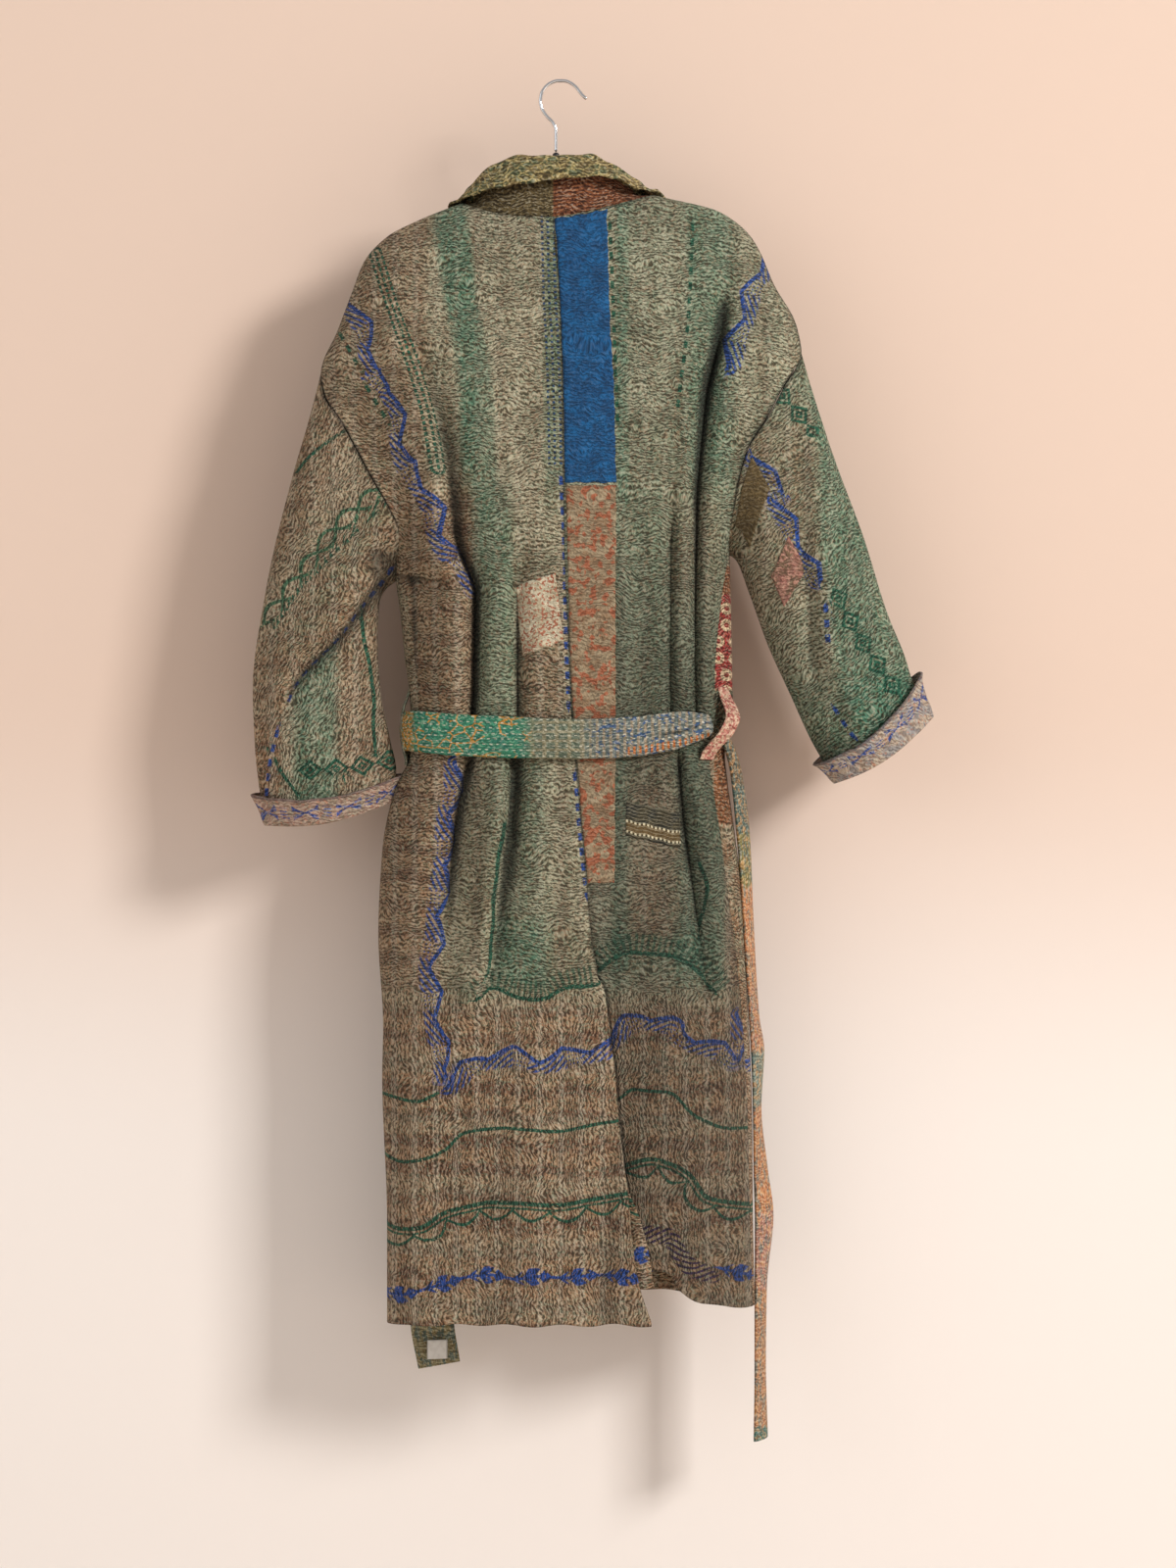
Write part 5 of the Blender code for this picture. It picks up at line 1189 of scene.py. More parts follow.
def before_front(side, p, lift):
    """The points p, moved forward where they would be less than lift metres in front of the front panel."""
    column = HOOK_COLUMN - p[..., 0] * UNITS
    row = np.maximum(HOOK_ROW - p[..., 2] * UNITS, TOP[side] + 1.0)
    s = share(side, column, row)
    inner = (column - line(FRONT_EDGE[side], row)) * (1 if side == "left" else -1) > 0.0
    angle = to_angle(np.minimum(s, 0.995), True)
    surface = body(side, angle, row)[..., 1]
    steep = np.maximum(np.abs(body_normal(side, angle, row)[..., 1]), 0.4)
    ahead = np.minimum(p[..., 1], surface - lift / steep)
    return np.stack([p[..., 0], np.where((s > 0.995) | inner, p[..., 1], ahead), p[..., 2]], axis=-1)


def vector(x, y, z):
    """Three arrays as one array of vectors."""
    return np.stack(np.broadcast_arrays(x, y, z), axis=-1)


print("collar falls", FREE["left"][0][2] - ROLL["left"][0][2], "units from its roll to its free edge")

# %% Collar sections
def collar_sections(side, t):
    """Nine points for each t, from the neck seam to the free edge."""
    sign = 1.0 if side == "left" else -1.0
    back = t <= 0.28
    top = TOP[side]
    k = np.clip(t / 0.28, 0.0, 1.0)
    seam_back = body(side, to_angle(k), top) + np.array([0.0, 0.0, 0.0012])
    inward = unit(vector(-sign * k, -(1.0 - k) - 0.05, 0.0))
    seam_back = seam_back + inward * CLOTH
    up_back = unit(vector(-sign * 0.25 * k, 0.0, 1.0))
    row = line(FRONT_ROW, np.maximum(t, 0.33)) + (top - TOP["left"]) * (1.0 - ease((t - 0.33) / 0.2))
    edge = line(FRONT_EDGE[side], row)
    turn = ease((t - 0.28) / 0.08)
    side_gap = 0.0012 + 0.0028 * (1.0 - ease((t - 0.33) / 0.1))
    seam_front = front_point(side, edge, row, np.zeros_like(t)) + vector(-sign * side_gap, CLOTH * 0.6, 0.0)
    first = np.clip((t - 0.28) / 0.05, 0.0, 1.0)
    last = to_angle(share(side, line(FRONT_EDGE[side], top), top), True)
    shoulder = body(side, np.pi / 2 + (last - np.pi / 2) * first, top)
    shoulder = shoulder + vector(-sign * (CLOTH + 0.0014 * first), 0.0, 0.0026)
    blend = ease((t - 0.32) / 0.02)[:, None]
    seam_front = shoulder * (1.0 - blend) + seam_front * blend
    up_front = unit(vector(-sign * (0.25 + 0.75 * turn), 0.0, 1.0 - turn + 0.12))
    out_front = unit(vector(sign * (1.0 - turn), -turn, 0.05))
    reach = line([(0.28, 6.0), (0.36, 9.0), (1.0, 9.0)], t) * sign
    front_roll = place(edge + reach, row, 0.0)
    front_roll[..., 1] = seam_front[..., 1] - 0.004
    roll = np.where(back[:, None], table_point(ROLL[side], t),
                    table_point(ROLL[side], 0.28) * (1.0 - turn[:, None]) + front_roll * turn[:, None])
    width = line(REVERS, np.maximum(t, 0.33))
    front_free = front_point(side, edge - sign * width, row, np.full_like(t, 0.0058))
    front_half = front_point(side, edge - sign * 0.5 * width, row, np.full_like(t, 0.0074))
    lower = ease((t - 0.37) / 0.08)[:, None]
    free = table_point(FREE[side], np.minimum(t, 0.42)) * (1.0 - lower) + front_free * lower
    seam = np.where(back[:, None], seam_back, seam_front)
    up = np.where(back[:, None], up_back, up_front)
    out = np.where(back[:, None], -inward, out_front)
    radius = (0.0055 - 0.0015 * turn)[:, None]
    centre = roll - up * radius
    arc = [centre + radius * (-out * math.cos(a) + up * math.sin(a)) for a in np.linspace(0.0, math.pi, 5)]
    half_way = (arc[-1] + free) * 0.5 + out * np.where(back, 0.0015, 0.0036)[:, None]
    half_way = half_way * (1.0 - lower) + front_half * lower
    ahead = (t > 0.28)[:, None]
    arc = arc[:3] + [np.where(ahead, before_front(side, q, 0.0073), q) for q in arc[3:]]
    half_way = np.where(ahead, before_front(side, half_way, 0.0073), half_way)
    free = np.where(ahead, before_front(side, free, 0.0056), free)
    return np.stack([seam, (seam + arc[0]) * 0.5] + arc + [half_way, free], axis=1)


def denser(points, count):
    """More points along axis 1, on a Catmull-Rom curve through the given ones."""
    n = points.shape[1]
    padded = np.concatenate([2 * points[:, :1] - points[:, 1:2], points,
                             2 * points[:, -1:] - points[:, -2:-1]], axis=1)
    at = np.linspace(0.0, n - 1.0, count)
    i = np.minimum(at.astype(int), n - 2)
    f = (at - i)[None, :, None]
    a, b, c, d = (padded[:, i + k] for k in range(4))
    start = 2 * b + (c - a) * f + (2 * a - 5 * b + 4 * c - d) * f ** 2
    return 0.5 * (start + (3 * b - a - 3 * c + d) * f ** 3)


def collar_cloth(name):
    """Olive cloth netted with yellow stitches on the fall; plain olive and ribbed orange-brown within."""
    c = Cloth(name)
    height = quilting(c, 4.2)
    colour = mix(c.cloud(14.0, 8.0, 0.0, 3.0).rise(0.4, 0.6), rgb(126, 108, 66), rgb(92, 100, 66))
    cell = add(c.tree, "ShaderNodeTexVoronoi", {"Vector": add(c.tree, "ShaderNodeCombineXYZ",
               {0: c.x / 9.0, 1: c.y / 9.0, 2: c.z / 6.0}), "Scale": 1.0}, {"feature": "DISTANCE_TO_EDGE"})
    net = 1.0 - cell.rise(0.05, 0.13)
    colour = mix(net * 0.75 * c.cloud(5.0, 5.0, 9.0).rise(0.3, 0.5), colour, rgb(196, 176, 118))
    ribs = (c.u * 1.6).sin().rise(-0.4, 0.8)
    right = c.column.rise(563.0, 566.0)
    stand = mix(right, rgb(104, 88, 54), mix(ribs, rgb(106, 56, 32), rgb(150, 92, 54)))
    colour = mix(c.pale, colour, stand)
    # Painted shade in the troughs and a painted highlight on the crests.
    colour = shaded(colour, height)
    return c.finish(colour, height, 0.92, 0.0013)


t = np.concatenate([np.linspace(0.0, 0.28, 110), np.linspace(0.283, 0.5, 90), np.linspace(0.505, 1.0, 70)])
left_part = collar_sections("left", t)[::-1]
right_part = collar_sections("right", t)[1:]
points = denser(np.concatenate([left_part, right_part]), 44)
both = np.concatenate([t[::-1], t[1:]])
points[..., 2] += (0.0007 * np.sin(both * 95.0))[:, None]
stand_zone = np.zeros(points.shape[:2] + (4,))
stand_zone[:, :11, 2] = 1.0
core = points[:, :1].mean(axis=0, keepdims=True) * np.array([1.0, 0.0, 1.0])
COLLAR = weave("collar_roll", points, core, collar_cloth("quilted_collar"), cloth=0.0022, offset=-1.0,
               zones=stand_zone)
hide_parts("collar")


# %% [markdown]
# ## Belt and its tails
# The belt crosses the back, runs through both loops and hangs down on both sides. It lies on the
# body at belt height, a little proud and crowned, as doubled cloth is. Its ends are ribbons along
# drawn lines, and each loop is a short strip that stands off the waist where the belt passes.

# %% Belt
BELT_TOP = [(414, 727), (425, 726), (475, 730), (520, 732), (591, 735), (645, 733), (690, 728), (715, 731),
            (727, 736)]
BELT_LOW = [(414, 764), (421, 765), (470, 771), (520, 773), (591, 774), (636, 772), (681, 765), (707, 755),
            (727, 745)]


def waist_point(side, angle):
    """Point and level outward direction of the body at belt height, without its folds."""
    step = body(side, angle + 0.04, BELT_ROW, False) - body(side, angle - 0.04, BELT_ROW, False)
    out = vector(step[..., 1], -step[..., 0], 0.0)
    if side == "left":
        out = -out
    return body(side, angle, BELT_ROW, False), unit(out)


def belt_cloth(name):
    """Teal with ochre embroidery, then grey-green plaid, then checks, under rows of running stitch."""
    c = Cloth(name)
    height = quilting(c, 3.8)
    teal = mix(c.cloud(10.0, 6.0, 0.0, 3.0).rise(0.35, 0.65), rgb(60, 140, 108), rgb(44, 118, 98))
    spot = add(c.tree, "ShaderNodeCombineXYZ", {0: c.x / 12.0, 1: c.y / 12.0, 2: c.z / 9.0})
    net = add(c.tree, "ShaderNodeTexVoronoi", {"Vector": spot, "Scale": 1.0},
              {"feature": "DISTANCE_TO_EDGE"})
    gold = (1.0 - net.rise(0.035, 0.08)) * c.cloud(15.0, 22.0, 15.0, 1.0).rise(0.50, 0.55)
    gold = gold.most((c.column - 416.0).within(5.0, 5.0) * c.cloud(4.0, 3.0, 9.0).rise(0.4, 0.5))
    teal = mix(gold, teal, rgb(196, 140, 60))
    grid = (c.column * 0.5).sin().rise(0.2, 0.9).most((c.row * 0.7).sin().rise(0.3, 0.9))
    plaid = mix(grid * 0.7, rgb(104, 116, 98), rgb(160, 148, 116))
    checks = mix((c.column * 0.9).sin().rise(0.0, 0.6), rgb(104, 114, 112), rgb(158, 142, 120))
    checks = mix(c.cloud(7.0, 4.0, 33.0, 2.0).rise(0.55, 0.62), checks, rgb(60, 90, 130))
    colour = mix(c.column.rise(528.0, 552.0), teal, plaid)
    colour = mix(c.column.rise(585.0, 615.0), colour, checks)
    fringe = c.column.rise(636.0, 642.0) * (c.v - 31.5).within(3.0, 1.5)
    fringe = fringe * (c.column * 1.1).sin().rise(0.0, 0.5)
    colour = mix(fringe, colour, rgb(200, 112, 44))
    rows = (c.v * (TURN / 4.8)).sin().rise(0.7, 0.95)
    stitch = rows * (c.u * (TURN / 6.5) + (c.v / 4.8).math("FLOOR") * 2.2).sin().rise(0.1, 0.5)
    colour = mix(stitch * 0.8, colour, rgb(220, 216, 196))
    # Painted shade in the troughs and a painted highlight on the crests.
    colour = shaded(colour, height, (0.30, 0.36, 0.32), 0.7)
    # Painted shade in the belt's fold, from the fourth channel of zones.
    colour = mix(c.dark, colour, rgb(14, 14, 10))
    return c.finish(colour, height - rows * 0.5, 0.9, 0.0012)


right_s = np.linspace(0.845, 0.0, 150)
left_a = np.concatenate([to_angle(np.linspace(0.005, 0.985, 150)),
                         np.pi / 2 + np.linspace(-0.12, 0.68, 60)])
left_a = np.sort(left_a)
point_r, out_r = waist_point("right", to_angle(right_s))
point_l, out_l = waist_point("left", left_a)
point = np.concatenate([point_r, point_l])
out = np.concatenate([out_r, out_l])
behind = np.concatenate([np.ones(len(right_s), bool), left_a < np.pi / 2])
column = HOOK_COLUMN - point[:, 0] * UNITS
top_row = np.where(behind, line(BELT_TOP, column), 727.0)
low_row = np.where(behind, line(BELT_LOW, column), 765.0)
half = (low_row - top_row) / 2.0 / UNITS
bulge = np.sqrt(np.maximum(0.0182 ** 2 - half ** 2, 0.0)) * 0.5
w = np.linspace(-1.0, 1.0, 30)
crown = (1.0 - w ** 2)[None, :]
fold = -4.5 * np.exp(-((w[None, :] - 0.12 + 0.4 * ease((column[:, None] - 690.0) / 30.0)) / 0.16) ** 2)
fold = fold * ease((column[:, None] - 655.0) / 40.0) * behind[:, None]
ripple = 0.5 * np.sin(column[:, None] / 5.2 + 2.0 * w[None, :])
ripple = ripple + 0.5 * np.sin(column[:, None] / 11.0 - 1.5 * w[None, :])
lift = BELT_LIFT + (0.0015 + bulge[:, None]) * crown + 0.001 * (fold + ripple * (0.4 + 0.6 * crown))
points = point[:, None, :] + out[:, None, :] * lift[..., None]
points[..., 2] = (HOOK_ROW - (top_row + low_row)[:, None] / 2.0) / UNITS - w[None, :] * half[:, None]
points = points.transpose(1, 0, 2)
belt_zones = np.zeros(points.shape[:2] + (4,))
# Painted shade in the belt's fold on the right.
belt_zones[..., 3] = 0.85 * ease(-fold.T / 3.5)
BELT = weave("belt_strip", points, core_line(points), belt_cloth("quilted_belt"), cloth=0.0026, offset=-1.0,
             zones=belt_zones)
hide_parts("belt")

# %% Right tail: row, two edges as (column, depth)
TAIL_RIGHT = [(752, 736, 26, 744, 13), (768, 742, 20, 752, -5), (790, 747, 15, 758, -16),
              (850, 753, 13, 766, -21), (930, 759, 13, 769.5, -22), (1040, 766, 12, 776, -23),
              (1075, 768, 11, 781, -22), (1130, 770, 11, 778, -25), (1200, 771, 11, 785, -22),
              (1245, 772, 10, 790.5, -20), (1320, 772, 9, 784, -26), (1400, 772, 8, 783, -26),
              (1475, 771, 8, 785, -26)]


def tail_cloth(name, colours, line_colour):
    """Patches of print down the strip, with running stitch rows along it."""
    c = Cloth(name)
    height = quilting(c, 3.8)
    colour = colours[0]
    for start, tint in colours[1:]:
        colour = mix((c.row + c.cloud(9.0, 9.0, 77.0) * 16.0 - 8.0).rise(start - 2.0, start + 2.0), colour,
                     tint)
    blot = c.cloud(6.0, 5.0, 3.0, 3.0).rise(0.48, 0.58)
    colour = mix(blot * 0.65, colour, line_colour)
    colour = mix(c.cloud(4.0, 9.0, 29.0, 2.0).rise(0.51, 0.57) * 0.7, colour, rgb(74, 108, 108))
    rows = (c.u * (TURN / 4.6)).sin().rise(0.8, 0.97) * (c.v * 1.3).sin().rise(-0.2, 0.3)
    colour = mix(rows * 0.6, colour, rgb(224, 208, 178))
    # Painted shade in the troughs and a painted highlight on the crests.
    colour = shaded(colour, height, (0.36, 0.30, 0.26), 0.7)
    return c.finish(colour, height, 0.92, 0.0012)


tail = np.array(TAIL_RIGHT, float)
rows = np.linspace(752.0, 1475.0, 260)
near_edge = place(line(tail[:, [0, 1]], rows), rows, line(tail[:, [0, 2]], rows))
far_edge = place(line(tail[:, [0, 3]], rows), rows, line(tail[:, [0, 4]], rows))
side_step = unit(np.cross(far_edge - near_edge, np.array([0.0, 0.0, 1.0])))
side_step = np.where(side_step[:, :1] > 0.0, -side_step, side_step)
w = np.linspace(0.0, 1.0, 22)
belly = (4.0 * w * (1.0 - w))[None, :] * (0.002 + 0.0012 * np.sin(rows / 33.0))[:, None]
points = near_edge[:, None] * (1.0 - w)[None, :, None] + far_edge[:, None] * w[None, :, None]
points = points + side_step[:, None, :] * belly[..., None]
right_tail_colours = [rgb(84, 72, 50), (800, rgb(70, 92, 84)), (850, rgb(128, 120, 66)),
                      (905, rgb(192, 128, 84)), (1010, rgb(176, 120, 90)), (1075, rgb(120, 130, 116)),
                      (1130, rgb(186, 122, 78)), (1240, rgb(170, 120, 104)), (1320, rgb(180, 126, 86)),
                      (1462, rgb(60, 110, 100))]
core = points - side_step[:, None, :] * 0.05
TAIL_R = weave("belt_end_right", points, core,
               tail_cloth("quilted_tail_right", right_tail_colours, rgb(198, 150, 96)),
               cloth=0.0024, offset=0.0)
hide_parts("belt_tail_right")

# %% Left tail and its plain label
LEFT_TAIL_MIDDLE = [(727, 447), (748, 447), (850, 438), (1000, 438), (1200, 440), (1355, 440), (1407, 447)]
rows = np.linspace(BELT_ROW, 1406.0, 240)[:, None]
w = np.linspace(-1.0, 1.0, 26)[None, :]
row = rows + 19.0 * w * (1.0 - ease((rows - BELT_ROW) / 40.0))
column = line(LEFT_TAIL_MIDDLE, row) + 21.0 * w
held = np.minimum(row, 1338.0)
points = front_point("left", column, held, 0.0165 - 0.0110 * ease((row - 780.0) / 60.0))
ramp = ease((row - 1330.0) / 12.0)
points[..., 2] = points[..., 2] * (1.0 - ramp) + ((HOOK_ROW - row + 3.0 * w) / UNITS) * ramp
points[..., 1] += 0.0006 * np.sin(row / 23.0 + w)
left_tail_colours = [rgb(96, 104, 70), (900, rgb(108, 108, 76)), (1100, rgb(92, 106, 78)),
                     (1325, rgb(152, 146, 110))]
core = points + np.array([0.0, 0.05, 0.0])
TAIL_L = weave("belt_end_left", points, core, tail_cloth("quilted_tail_left", left_tail_colours,
                                                         rgb(132, 116, 78)),
               cloth=0.0026, offset=0.0)
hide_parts("belt_tail_left")


# %% Plain woven tape of the label
def tape(name):
    """Off-white woven tape: a fine twill and a little grey wear."""
    c = Cloth(name)
    twill = ((c.u + c.v) * (TURN / 0.7)).sin() * 0.5 + 0.5
    colour = mix(c.cloud(5.0, 5.0, 1.0, 3.0).rise(0.4, 0.7) * 0.4, rgb(244, 242, 236), rgb(214, 210, 202))
    colour = mix((c.u - 9.7).abs().rise(8.6, 9.4) * 0.4, colour, rgb(120, 116, 106))
    return c.finish(colour, twill, 0.8, 0.0002)


row, column = np.meshgrid(np.linspace(1379.0, 1399.0, 14), np.linspace(434.0, 455.0, 14), indexing="ij")
points = front_point("left", column, np.full_like(row, 1338.0), np.full_like(row, 0.0055))
points[..., 1] += 0.0040 + 0.0002 * np.cos((column - 444.5) / 7.0)
points[..., 2] = (HOOK_ROW - row) / UNITS
LABEL = weave("label_tape", points, points - np.array([0.0, 0.05, 0.0]), tape("woven_tape"), cloth=0.0006,
              offset=0.0)
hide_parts("belt_label")


# %% Belt loops
def strip(name, side, path, width, material):
    """A strip through (angle, row, mm off the waist) points, its width round the body."""
    knots = np.array(path, float)
    at = np.linspace(0.0, len(knots) - 1.0, 60)
    step = np.arange(len(knots))
    angle, row, off = (line(np.stack([step, knots[:, k]], 1), at)[:, None] for k in range(3))
    spread = np.linspace(-width, width, 12)[None, :]
    out = waist_point(side, angle + spread)[1]
    points = body(side, angle + spread, row) + out * (off * 0.001)[..., None]
    return weave(name, points, core_line(points), material, cloth=0.0016, offset=0.0)


def print_cloth(name, one, two, three):
    """A small scattered print in three colours."""
    c = Cloth(name)
    height = quilting(c, 4.8)
    colour = mix(c.cloud(4.0, 4.0, 2.0, 2.0).rise(0.44, 0.54), one, two)
    colour = mix(c.cloud(3.0, 3.0, 8.0, 2.0).rise(0.57, 0.62), colour, three)
    # Painted shade in the troughs and a painted highlight on the crests.
    colour = shaded(colour, height, (0.36, 0.30, 0.26), 0.6)
    return c.finish(colour, height, 0.92, 0.001)


LOOP_L = strip("loop_left", "left",
               [(1.55, 703.0, 2.4), (1.55, 712.0, 5.5), (1.55, 722.0, 9.5), (1.55, 735.0, 11.8),
                (1.55, 750.0, 12.2), (1.55, 764.0, 10.0), (1.55, 773.0, 7.0), (1.55, 781.0, 4.2)],
               0.10, print_cloth("loop_grey_green", rgb(108, 116, 100), rgb(134, 132, 110),
                                 rgb(86, 92, 78)))
LOOP_R = strip("loop_right", "right",
               [(1.23, 701.0, 1.8), (1.22, 712.0, 7.0), (1.21, 724.0, 14.0), (1.18, 736.0, 19.0),
                (1.14, 748.0, 20.0), (1.10, 758.0, 15.0), (1.07, 767.0, 9.0), (1.06, 775.0, 4.2)],
               0.085, print_cloth("loop_pink", rgb(186, 120, 106), rgb(206, 176, 150), rgb(150, 76, 70)))
for loop, node in ((LOOP_L, "belt_loop_left"), (LOOP_R, "belt_loop_right")):
    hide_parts(node)


# %% [markdown]
# ## Patches
# Patches of blue, paisley, white, dark, brown and pink cotton mend the coat. Each follows the panel
# it is sewn on, a millimetre proud of it, so it bends with the folds beneath.

# %% Patch cloths
def patch_cloth(name, one, two, spots=None, spot_size=4.0, pale_rows=False, dark=0.65, crest_highlight=0.10):
    """Two washes, an optional scattered print and optional rows of pale running stitch."""
    c = Cloth(name)
    height = quilting(c, 3.9)
    colour = mix(c.cloud(12.0, 12.0, 4.0, 3.0).rise(0.38, 0.62), one, two)
    if spots:
        blots = c.cloud(spot_size, spot_size, 19.0, 2.0).rise(0.52, 0.57)
        colour = mix(blots, colour, spots)
    if pale_rows:
        colour = mix(c.v.rise(18.0, 19.0) * (1.0 - c.v.rise(28.0, 29.0)), colour, rgb(92, 72, 38))
        rows = (c.v - 18.5).within(0.9, 0.5).most((c.v - 28.5).within(0.9, 0.5))
        faint = (c.v * 1.9).sin().rise(0.6, 0.95) * 0.25
        colour = mix((rows * (c.u * 1.5).sin().rise(-0.2, 0.2)).most(faint), colour, rgb(206, 196, 164))
    # Painted shade in the troughs and a painted highlight on the crests.
    colour = shaded(colour, height, (0.34, 0.34, 0.34), dark, crest_highlight)
    return c.finish(colour, height, 0.9, 0.0015)


def back_patch(name, node, side, rows, left_edge, right_edge, material, tilt=0.0, fray=0.6):
    """A thin sheet that follows the panel, its edge a little uneven."""
    row, f = np.meshgrid(np.linspace(rows[0], rows[1], max(int((rows[1] - rows[0]) / 3.0), 12)),
                         np.linspace(0.0, 1.0, 26), indexing="ij")
    uneven = fray * np.sin(row / 3.1) * np.sin(row / 7.7)
    column = line(left_edge, row) * (1.0 - f) + (line(right_edge, row) + uneven) * f
    own_row = row + tilt * (f - 0.5) + fray * np.sin(column / 2.7)
    angle = to_angle(share(side, column, own_row))
    points = body(side, angle, own_row) + body_normal(side, angle, own_row) * (PATCH_LIFT + PATCH_CLOTH)
    ob = weave(name, points, core_line(points), material, cloth=PATCH_CLOTH)
    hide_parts(node)
    return ob


PATCHES = [
    back_patch("patch_of_blue", "patch_blue", "right", (199.6, 495),
               [(212, 566.5), (290, 571), (400, 575.5), (494, 577)],
               [(212, 619), (260, 620), (330, 622), (400, 626), (494, 628)],
               patch_cloth("cotton_blue", rgb(2, 88, 142), rgb(2, 72, 120), dark=0.75, crest_highlight=0.03)),
    back_patch("patch_of_paisley", "patch_paisley", "right", (498, 900),
               [(497, 578), (650, 582), (720, 585), (800, 591), (900, 600.5)],
               [(497, 628), (730, 628), (900, 627)],
               patch_cloth("cotton_paisley", rgb(156, 138, 110), rgb(138, 112, 84), rgb(158, 92, 62), 7.0)),
    back_patch("patch_of_white", "patch_white", "left", (593, 662), [(593, 527), (662, 536)],
               [(593, 567), (662, 574.5)], patch_cloth("cotton_white", rgb(206, 196, 170),
                                                       rgb(180, 168, 140), rgb(166, 104, 78), 3.0,
                           dark=0.35), -14.0),
    back_patch("patch_of_dark", "patch_dark", "right", (824, 859), [(824, 638), (859, 638)],
               [(824, 690), (859, 692)], patch_cloth("cotton_dark", rgb(30, 32, 26), rgb(58, 52, 32),
                                                     pale_rows=True, dark=0.3),
               12.0),
]


def sleeve_patch(name, node, side, turns, steps, material):
    """A thin sheet on a sleeve between two turns and two shares of its length."""
    v, turn = np.meshgrid(np.linspace(steps[0], steps[1], 24), np.linspace(turns[0], turns[1], 24),
                          indexing="ij")
    points = sleeve(side, turn, v) + sleeve_normal(side, turn, v) * (PATCH_LIFT * 1.4 + PATCH_CLOTH)
    core = sleeve(side, np.linspace(0.0, 2.0, 24)[None, :], v).mean(axis=(0, 1))
    ob = weave(name, points, core, material, cloth=PATCH_CLOTH)
    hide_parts(node)
    return ob


PATCHES.append(sleeve_patch("patch_of_brown", "patch_brown", "right", (0.5, 0.75), (0.03, 0.14),
                            patch_cloth("cotton_brown", rgb(104, 86, 52), rgb(88, 72, 42))))
PATCHES.append(sleeve_patch("patch_of_pink", "patch_pink", "right", (0.53, 0.70), (0.27, 0.38),
                            patch_cloth("cotton_pink", rgb(158, 104, 92), rgb(116, 92, 70),
                                        rgb(176, 130, 112), 3.5)))
print("patches:", len(PATCHES))


# %% [markdown]
# ## Hanger
# The hook is polished wire, made as rings carried along a smooth path; the neck is turned the same
# way. The arms lie inside the shoulders, so the frame's own solid serves, in black plastic.

# %% Hook and neck
def tube(name, path, radii, ring, material):
    """A round bar: rings of radius r at right angles to a smooth path in the hanger's plane."""
    knots = np.array(path, float)
    t = np.concatenate([[0.0], np.cumsum(np.linalg.norm(np.diff(knots, axis=0), axis=1))])
    at = np.linspace(0.0, t[-1], 8 * len(knots))
    spine = place(line(np.stack([t, knots[:, 0]], 1), at), line(np.stack([t, knots[:, 1]], 1), at), 0.0)
    radius = line(np.stack([t, radii], 1), at)
    end = np.minimum(np.minimum(at, t[-1] - at) / (0.9 * UNITS * radius), 1.0)
    radius = radius * np.sqrt(np.maximum(1.0 - (1.0 - end) ** 2, 0.02))
    along = unit(np.gradient(spine, axis=0))
    flat = unit(np.cross(along, np.array([0.0, 1.0, 0.0])))
    a = np.linspace(0.0, TURN, ring + 1)[:-1]
    circle = flat[:, None] * np.cos(a)[None, :, None]
    circle = circle + np.array([0.0, 1.0, 0.0]) * np.sin(a)[None, :, None]
    points = spine[:, None] + circle * radius[:, None, None]
    index = np.arange(len(at) * ring).reshape(len(at), ring)
    after = np.roll(index, -1, axis=1)
    quads = np.stack([index[:-1], after[:-1], after[1:], index[1:]], axis=-1).reshape(-1, 4).tolist()
    mesh = bpy.data.meshes.new(name)
    mesh.from_pydata(points.reshape(-1, 3), [], quads + [index[0].tolist()[::-1], index[-1].tolist()])
    mesh.shade_smooth()
    ob = bpy.data.objects.new(name, mesh)
    bpy.context.scene.collection.objects.link(ob)
    ob.data.materials.append(material)
    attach(ob, "root")
    return ob


def simple(name, colour, rough, metallic, scratch=0.1):
    """Polished metal or moulded plastic, its roughness varied by fine noise."""
    mat = bpy.data.materials.new(name)
    mat.use_nodes = True
    tree = mat.node_tree
    tree.nodes.clear()
    where = add(tree, "ShaderNodeTexCoord", {}, out=3)
    grain = add(tree, "ShaderNodeTexNoise", {"Vector": where, "Scale": 900.0, "Detail": 2.0})
    patchy = add(tree, "ShaderNodeTexNoise", {"Vector": where, "Scale": 60.0, "Detail": 2.0})
    bump = add(tree, "ShaderNodeBump", {"Height": grain, "Distance": 0.00005, "Strength": 0.4})
    shade = add(tree, "ShaderNodeBsdfPrincipled", {"Base Color": colour, "Metallic": metallic,
                "Roughness": patchy * scratch + rough, "Normal": bump})
    out = tree.nodes.new("ShaderNodeOutputMaterial")
    tree.links.new(shade.socket, out.inputs["Surface"])
    return mat


CHROME = simple("hook_chrome", (0.72, 0.73, 0.75, 1.0), 0.08, 1.0)
BLACK = simple("hanger_black", (0.012, 0.012, 0.014, 1.0), 0.35, 0.0, 0.2)
HOOK_PATH = [(567, 150), (567, 138), (567, 128), (564, 120), (557.5, 113), (552.5, 105), (551, 98),
             (552, 90.5), (556, 83.5), (562, 78.8), (569, 76.7), (576, 76.8), (582.5, 79.2), (588, 83.6),
             (592.5, 89.5), (596, 93.2), (599, 95.5)]
HOOK = tube("hook_wire", HOOK_PATH, [0.0017] * len(HOOK_PATH), 24, CHROME)
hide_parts("hanger_hook")
NECK = tube("hook_socket", [(567, r) for r in (150.4, 152.5, 155.5, 157.5, 160.0, 162.5, 164.6, 166.4)],
            [0.0030, 0.0034, 0.0034, 0.0040, 0.0044, 0.0040, 0.0046, 0.0046], 28, BLACK)
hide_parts("hanger_neck")
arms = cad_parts["hanger_arms"]
for k in range(len(arms.material_slots)):
    arms.material_slots[k].material = BLACK
print("hanger ready")

# %% [markdown]
# ## Cut sizes
# A sheet keeps its area when it is hung. No flat size of a piece is stated here.

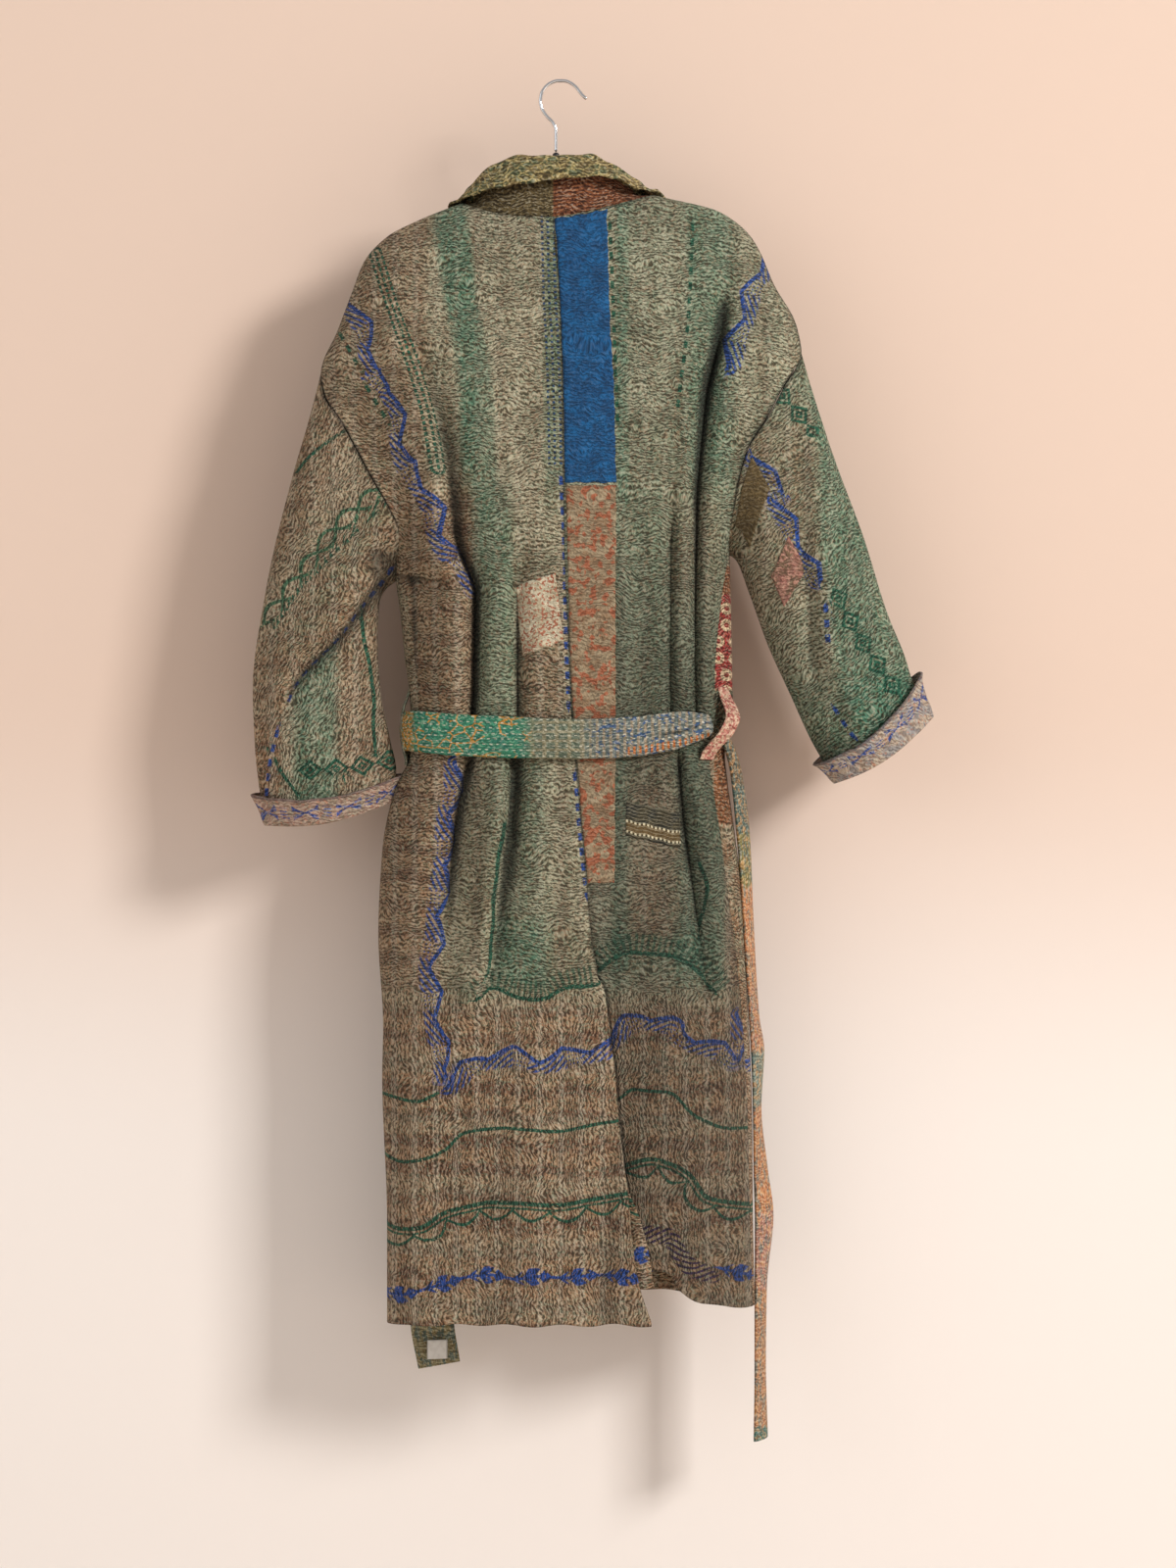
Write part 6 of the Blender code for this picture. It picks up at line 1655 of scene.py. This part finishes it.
# %% Cut sizes
print("sheets stated for the body, sleeves, collar and belt, and for", len(PATCHES), "patches")

# %% [markdown]
# ## Room, light and camera
# A plain wall and floor, one key lamp from the upper right, a weak fill and a soft lamp for the
# fronts. The wall is clear from behind, so that the coat can be seen from its other side too.

# %% Wall and floor
def plane(name, corners, material):
    """One flat face through four corners."""
    mesh = bpy.data.meshes.new(name)
    mesh.from_pydata(corners, [], [(0, 1, 2, 3)])
    ob = bpy.data.objects.new(name, mesh)
    bpy.context.scene.collection.objects.link(ob)
    ob.data.materials.append(material)


def plaster(name, top, low, z_top, z_low):
    """Matt paint whose colour runs softly from top to low with height, on the wall a painted shade darker
    towards the top; clear when seen from behind.
    """
    mat = bpy.data.materials.new(name)
    mat.use_nodes = True
    tree = mat.node_tree
    tree.nodes.clear()
    where = add(tree, "ShaderNodeTexCoord", {}, out=3)
    z = add(tree, "ShaderNodeSeparateXYZ", {0: where}, out=2)
    colour = mix(1.0 - z.rise(z_low, z_top), top, low)
    shade = add(tree, "ShaderNodeBsdfPrincipled", {"Base Color": colour, "Roughness": 1.0})
    behind = add(tree, "ShaderNodeNewGeometry", {}, out=6)
    clear = add(tree, "ShaderNodeBsdfTransparent", {})
    shade = add(tree, "ShaderNodeMixShader", {0: behind, 1: shade, 2: clear})
    out = tree.nodes.new("ShaderNodeOutputMaterial")
    tree.links.new(shade.socket, out.inputs["Surface"])
    return mat


WALL_Y = -0.105
FLOOR_Z = -1.62
# Painted shade: the wall's colour darkens towards its top.
plane("wall", [(9, WALL_Y, FLOOR_Z), (-9, WALL_Y, FLOOR_Z), (-9, WALL_Y, 6), (9, WALL_Y, 6)],
      plaster("wall_paint", rgb(224, 201, 185), rgb(240, 232, 226), -0.55, -1.05))
plane("floor", [(-9, WALL_Y, FLOOR_Z), (9, WALL_Y, FLOOR_Z), (9, 9, FLOOR_Z), (-9, 9, FLOOR_Z)],
      plaster("floor_paint", rgb(236, 226, 216), rgb(236, 226, 216), 0.0, -1.0))
print("wall at y", WALL_Y, "and floor at z", FLOOR_Z)

# %% Lights and camera
def area_light(name, spot, aim, size, power, tint=(1.0, 1.0, 1.0)):
    """A square soft light at spot that faces aim."""
    data = bpy.data.lights.new(name, "AREA")
    data.size = size
    data.energy = power
    data.color = tint
    ob = bpy.data.objects.new(name, data)
    bpy.context.scene.collection.objects.link(ob)
    ob.location = spot
    way = np.array(spot, float) - np.array(aim, float)
    way = way / np.linalg.norm(way)
    pitch = math.acos(way[2])
    turn = math.atan2(way[1], way[0]) + math.pi / 2
    ob.rotation_euler = (pitch, 0.0, turn)


area_light("key", (-4.9, 4.5, 2.2), (0.0, 0.0, -0.6), 1.5, 385.0, (1.0, 0.975, 0.95))
area_light("fill", (3.2, 3.6, 0.4), (0.0, 0.0, -0.7), 3.0, 30.0, (0.97, 0.98, 1.0))
area_light("front", (1.8, -3.6, 0.9), (0.0, 0.0, -0.6), 2.4, 110.0, (1.0, 0.98, 0.96))
world = bpy.data.worlds.new("room")
bpy.context.scene.world = world
world.use_nodes = True
world.node_tree.nodes["Background"].inputs[0].default_value = (1.0, 0.98, 0.96, 1.0)
world.node_tree.nodes["Background"].inputs[1].default_value = 0.42
bpy.context.scene.view_settings.view_transform = "Standard"

DISTANCE = 3.8
lens = bpy.data.cameras.new("camera")
lens.sensor_width = 36.0
lens.lens = 36.0 * DISTANCE / (1600.0 / UNITS)
camera = bpy.data.objects.new("camera", lens)
bpy.context.scene.collection.objects.link(camera)
camera.location = ((HOOK_COLUMN - 600.0) / UNITS, DISTANCE + 0.03, (HOOK_ROW - 800.0) / UNITS)
camera.rotation_euler = (math.pi / 2, 0.0, math.pi)
bpy.context.scene.camera = camera
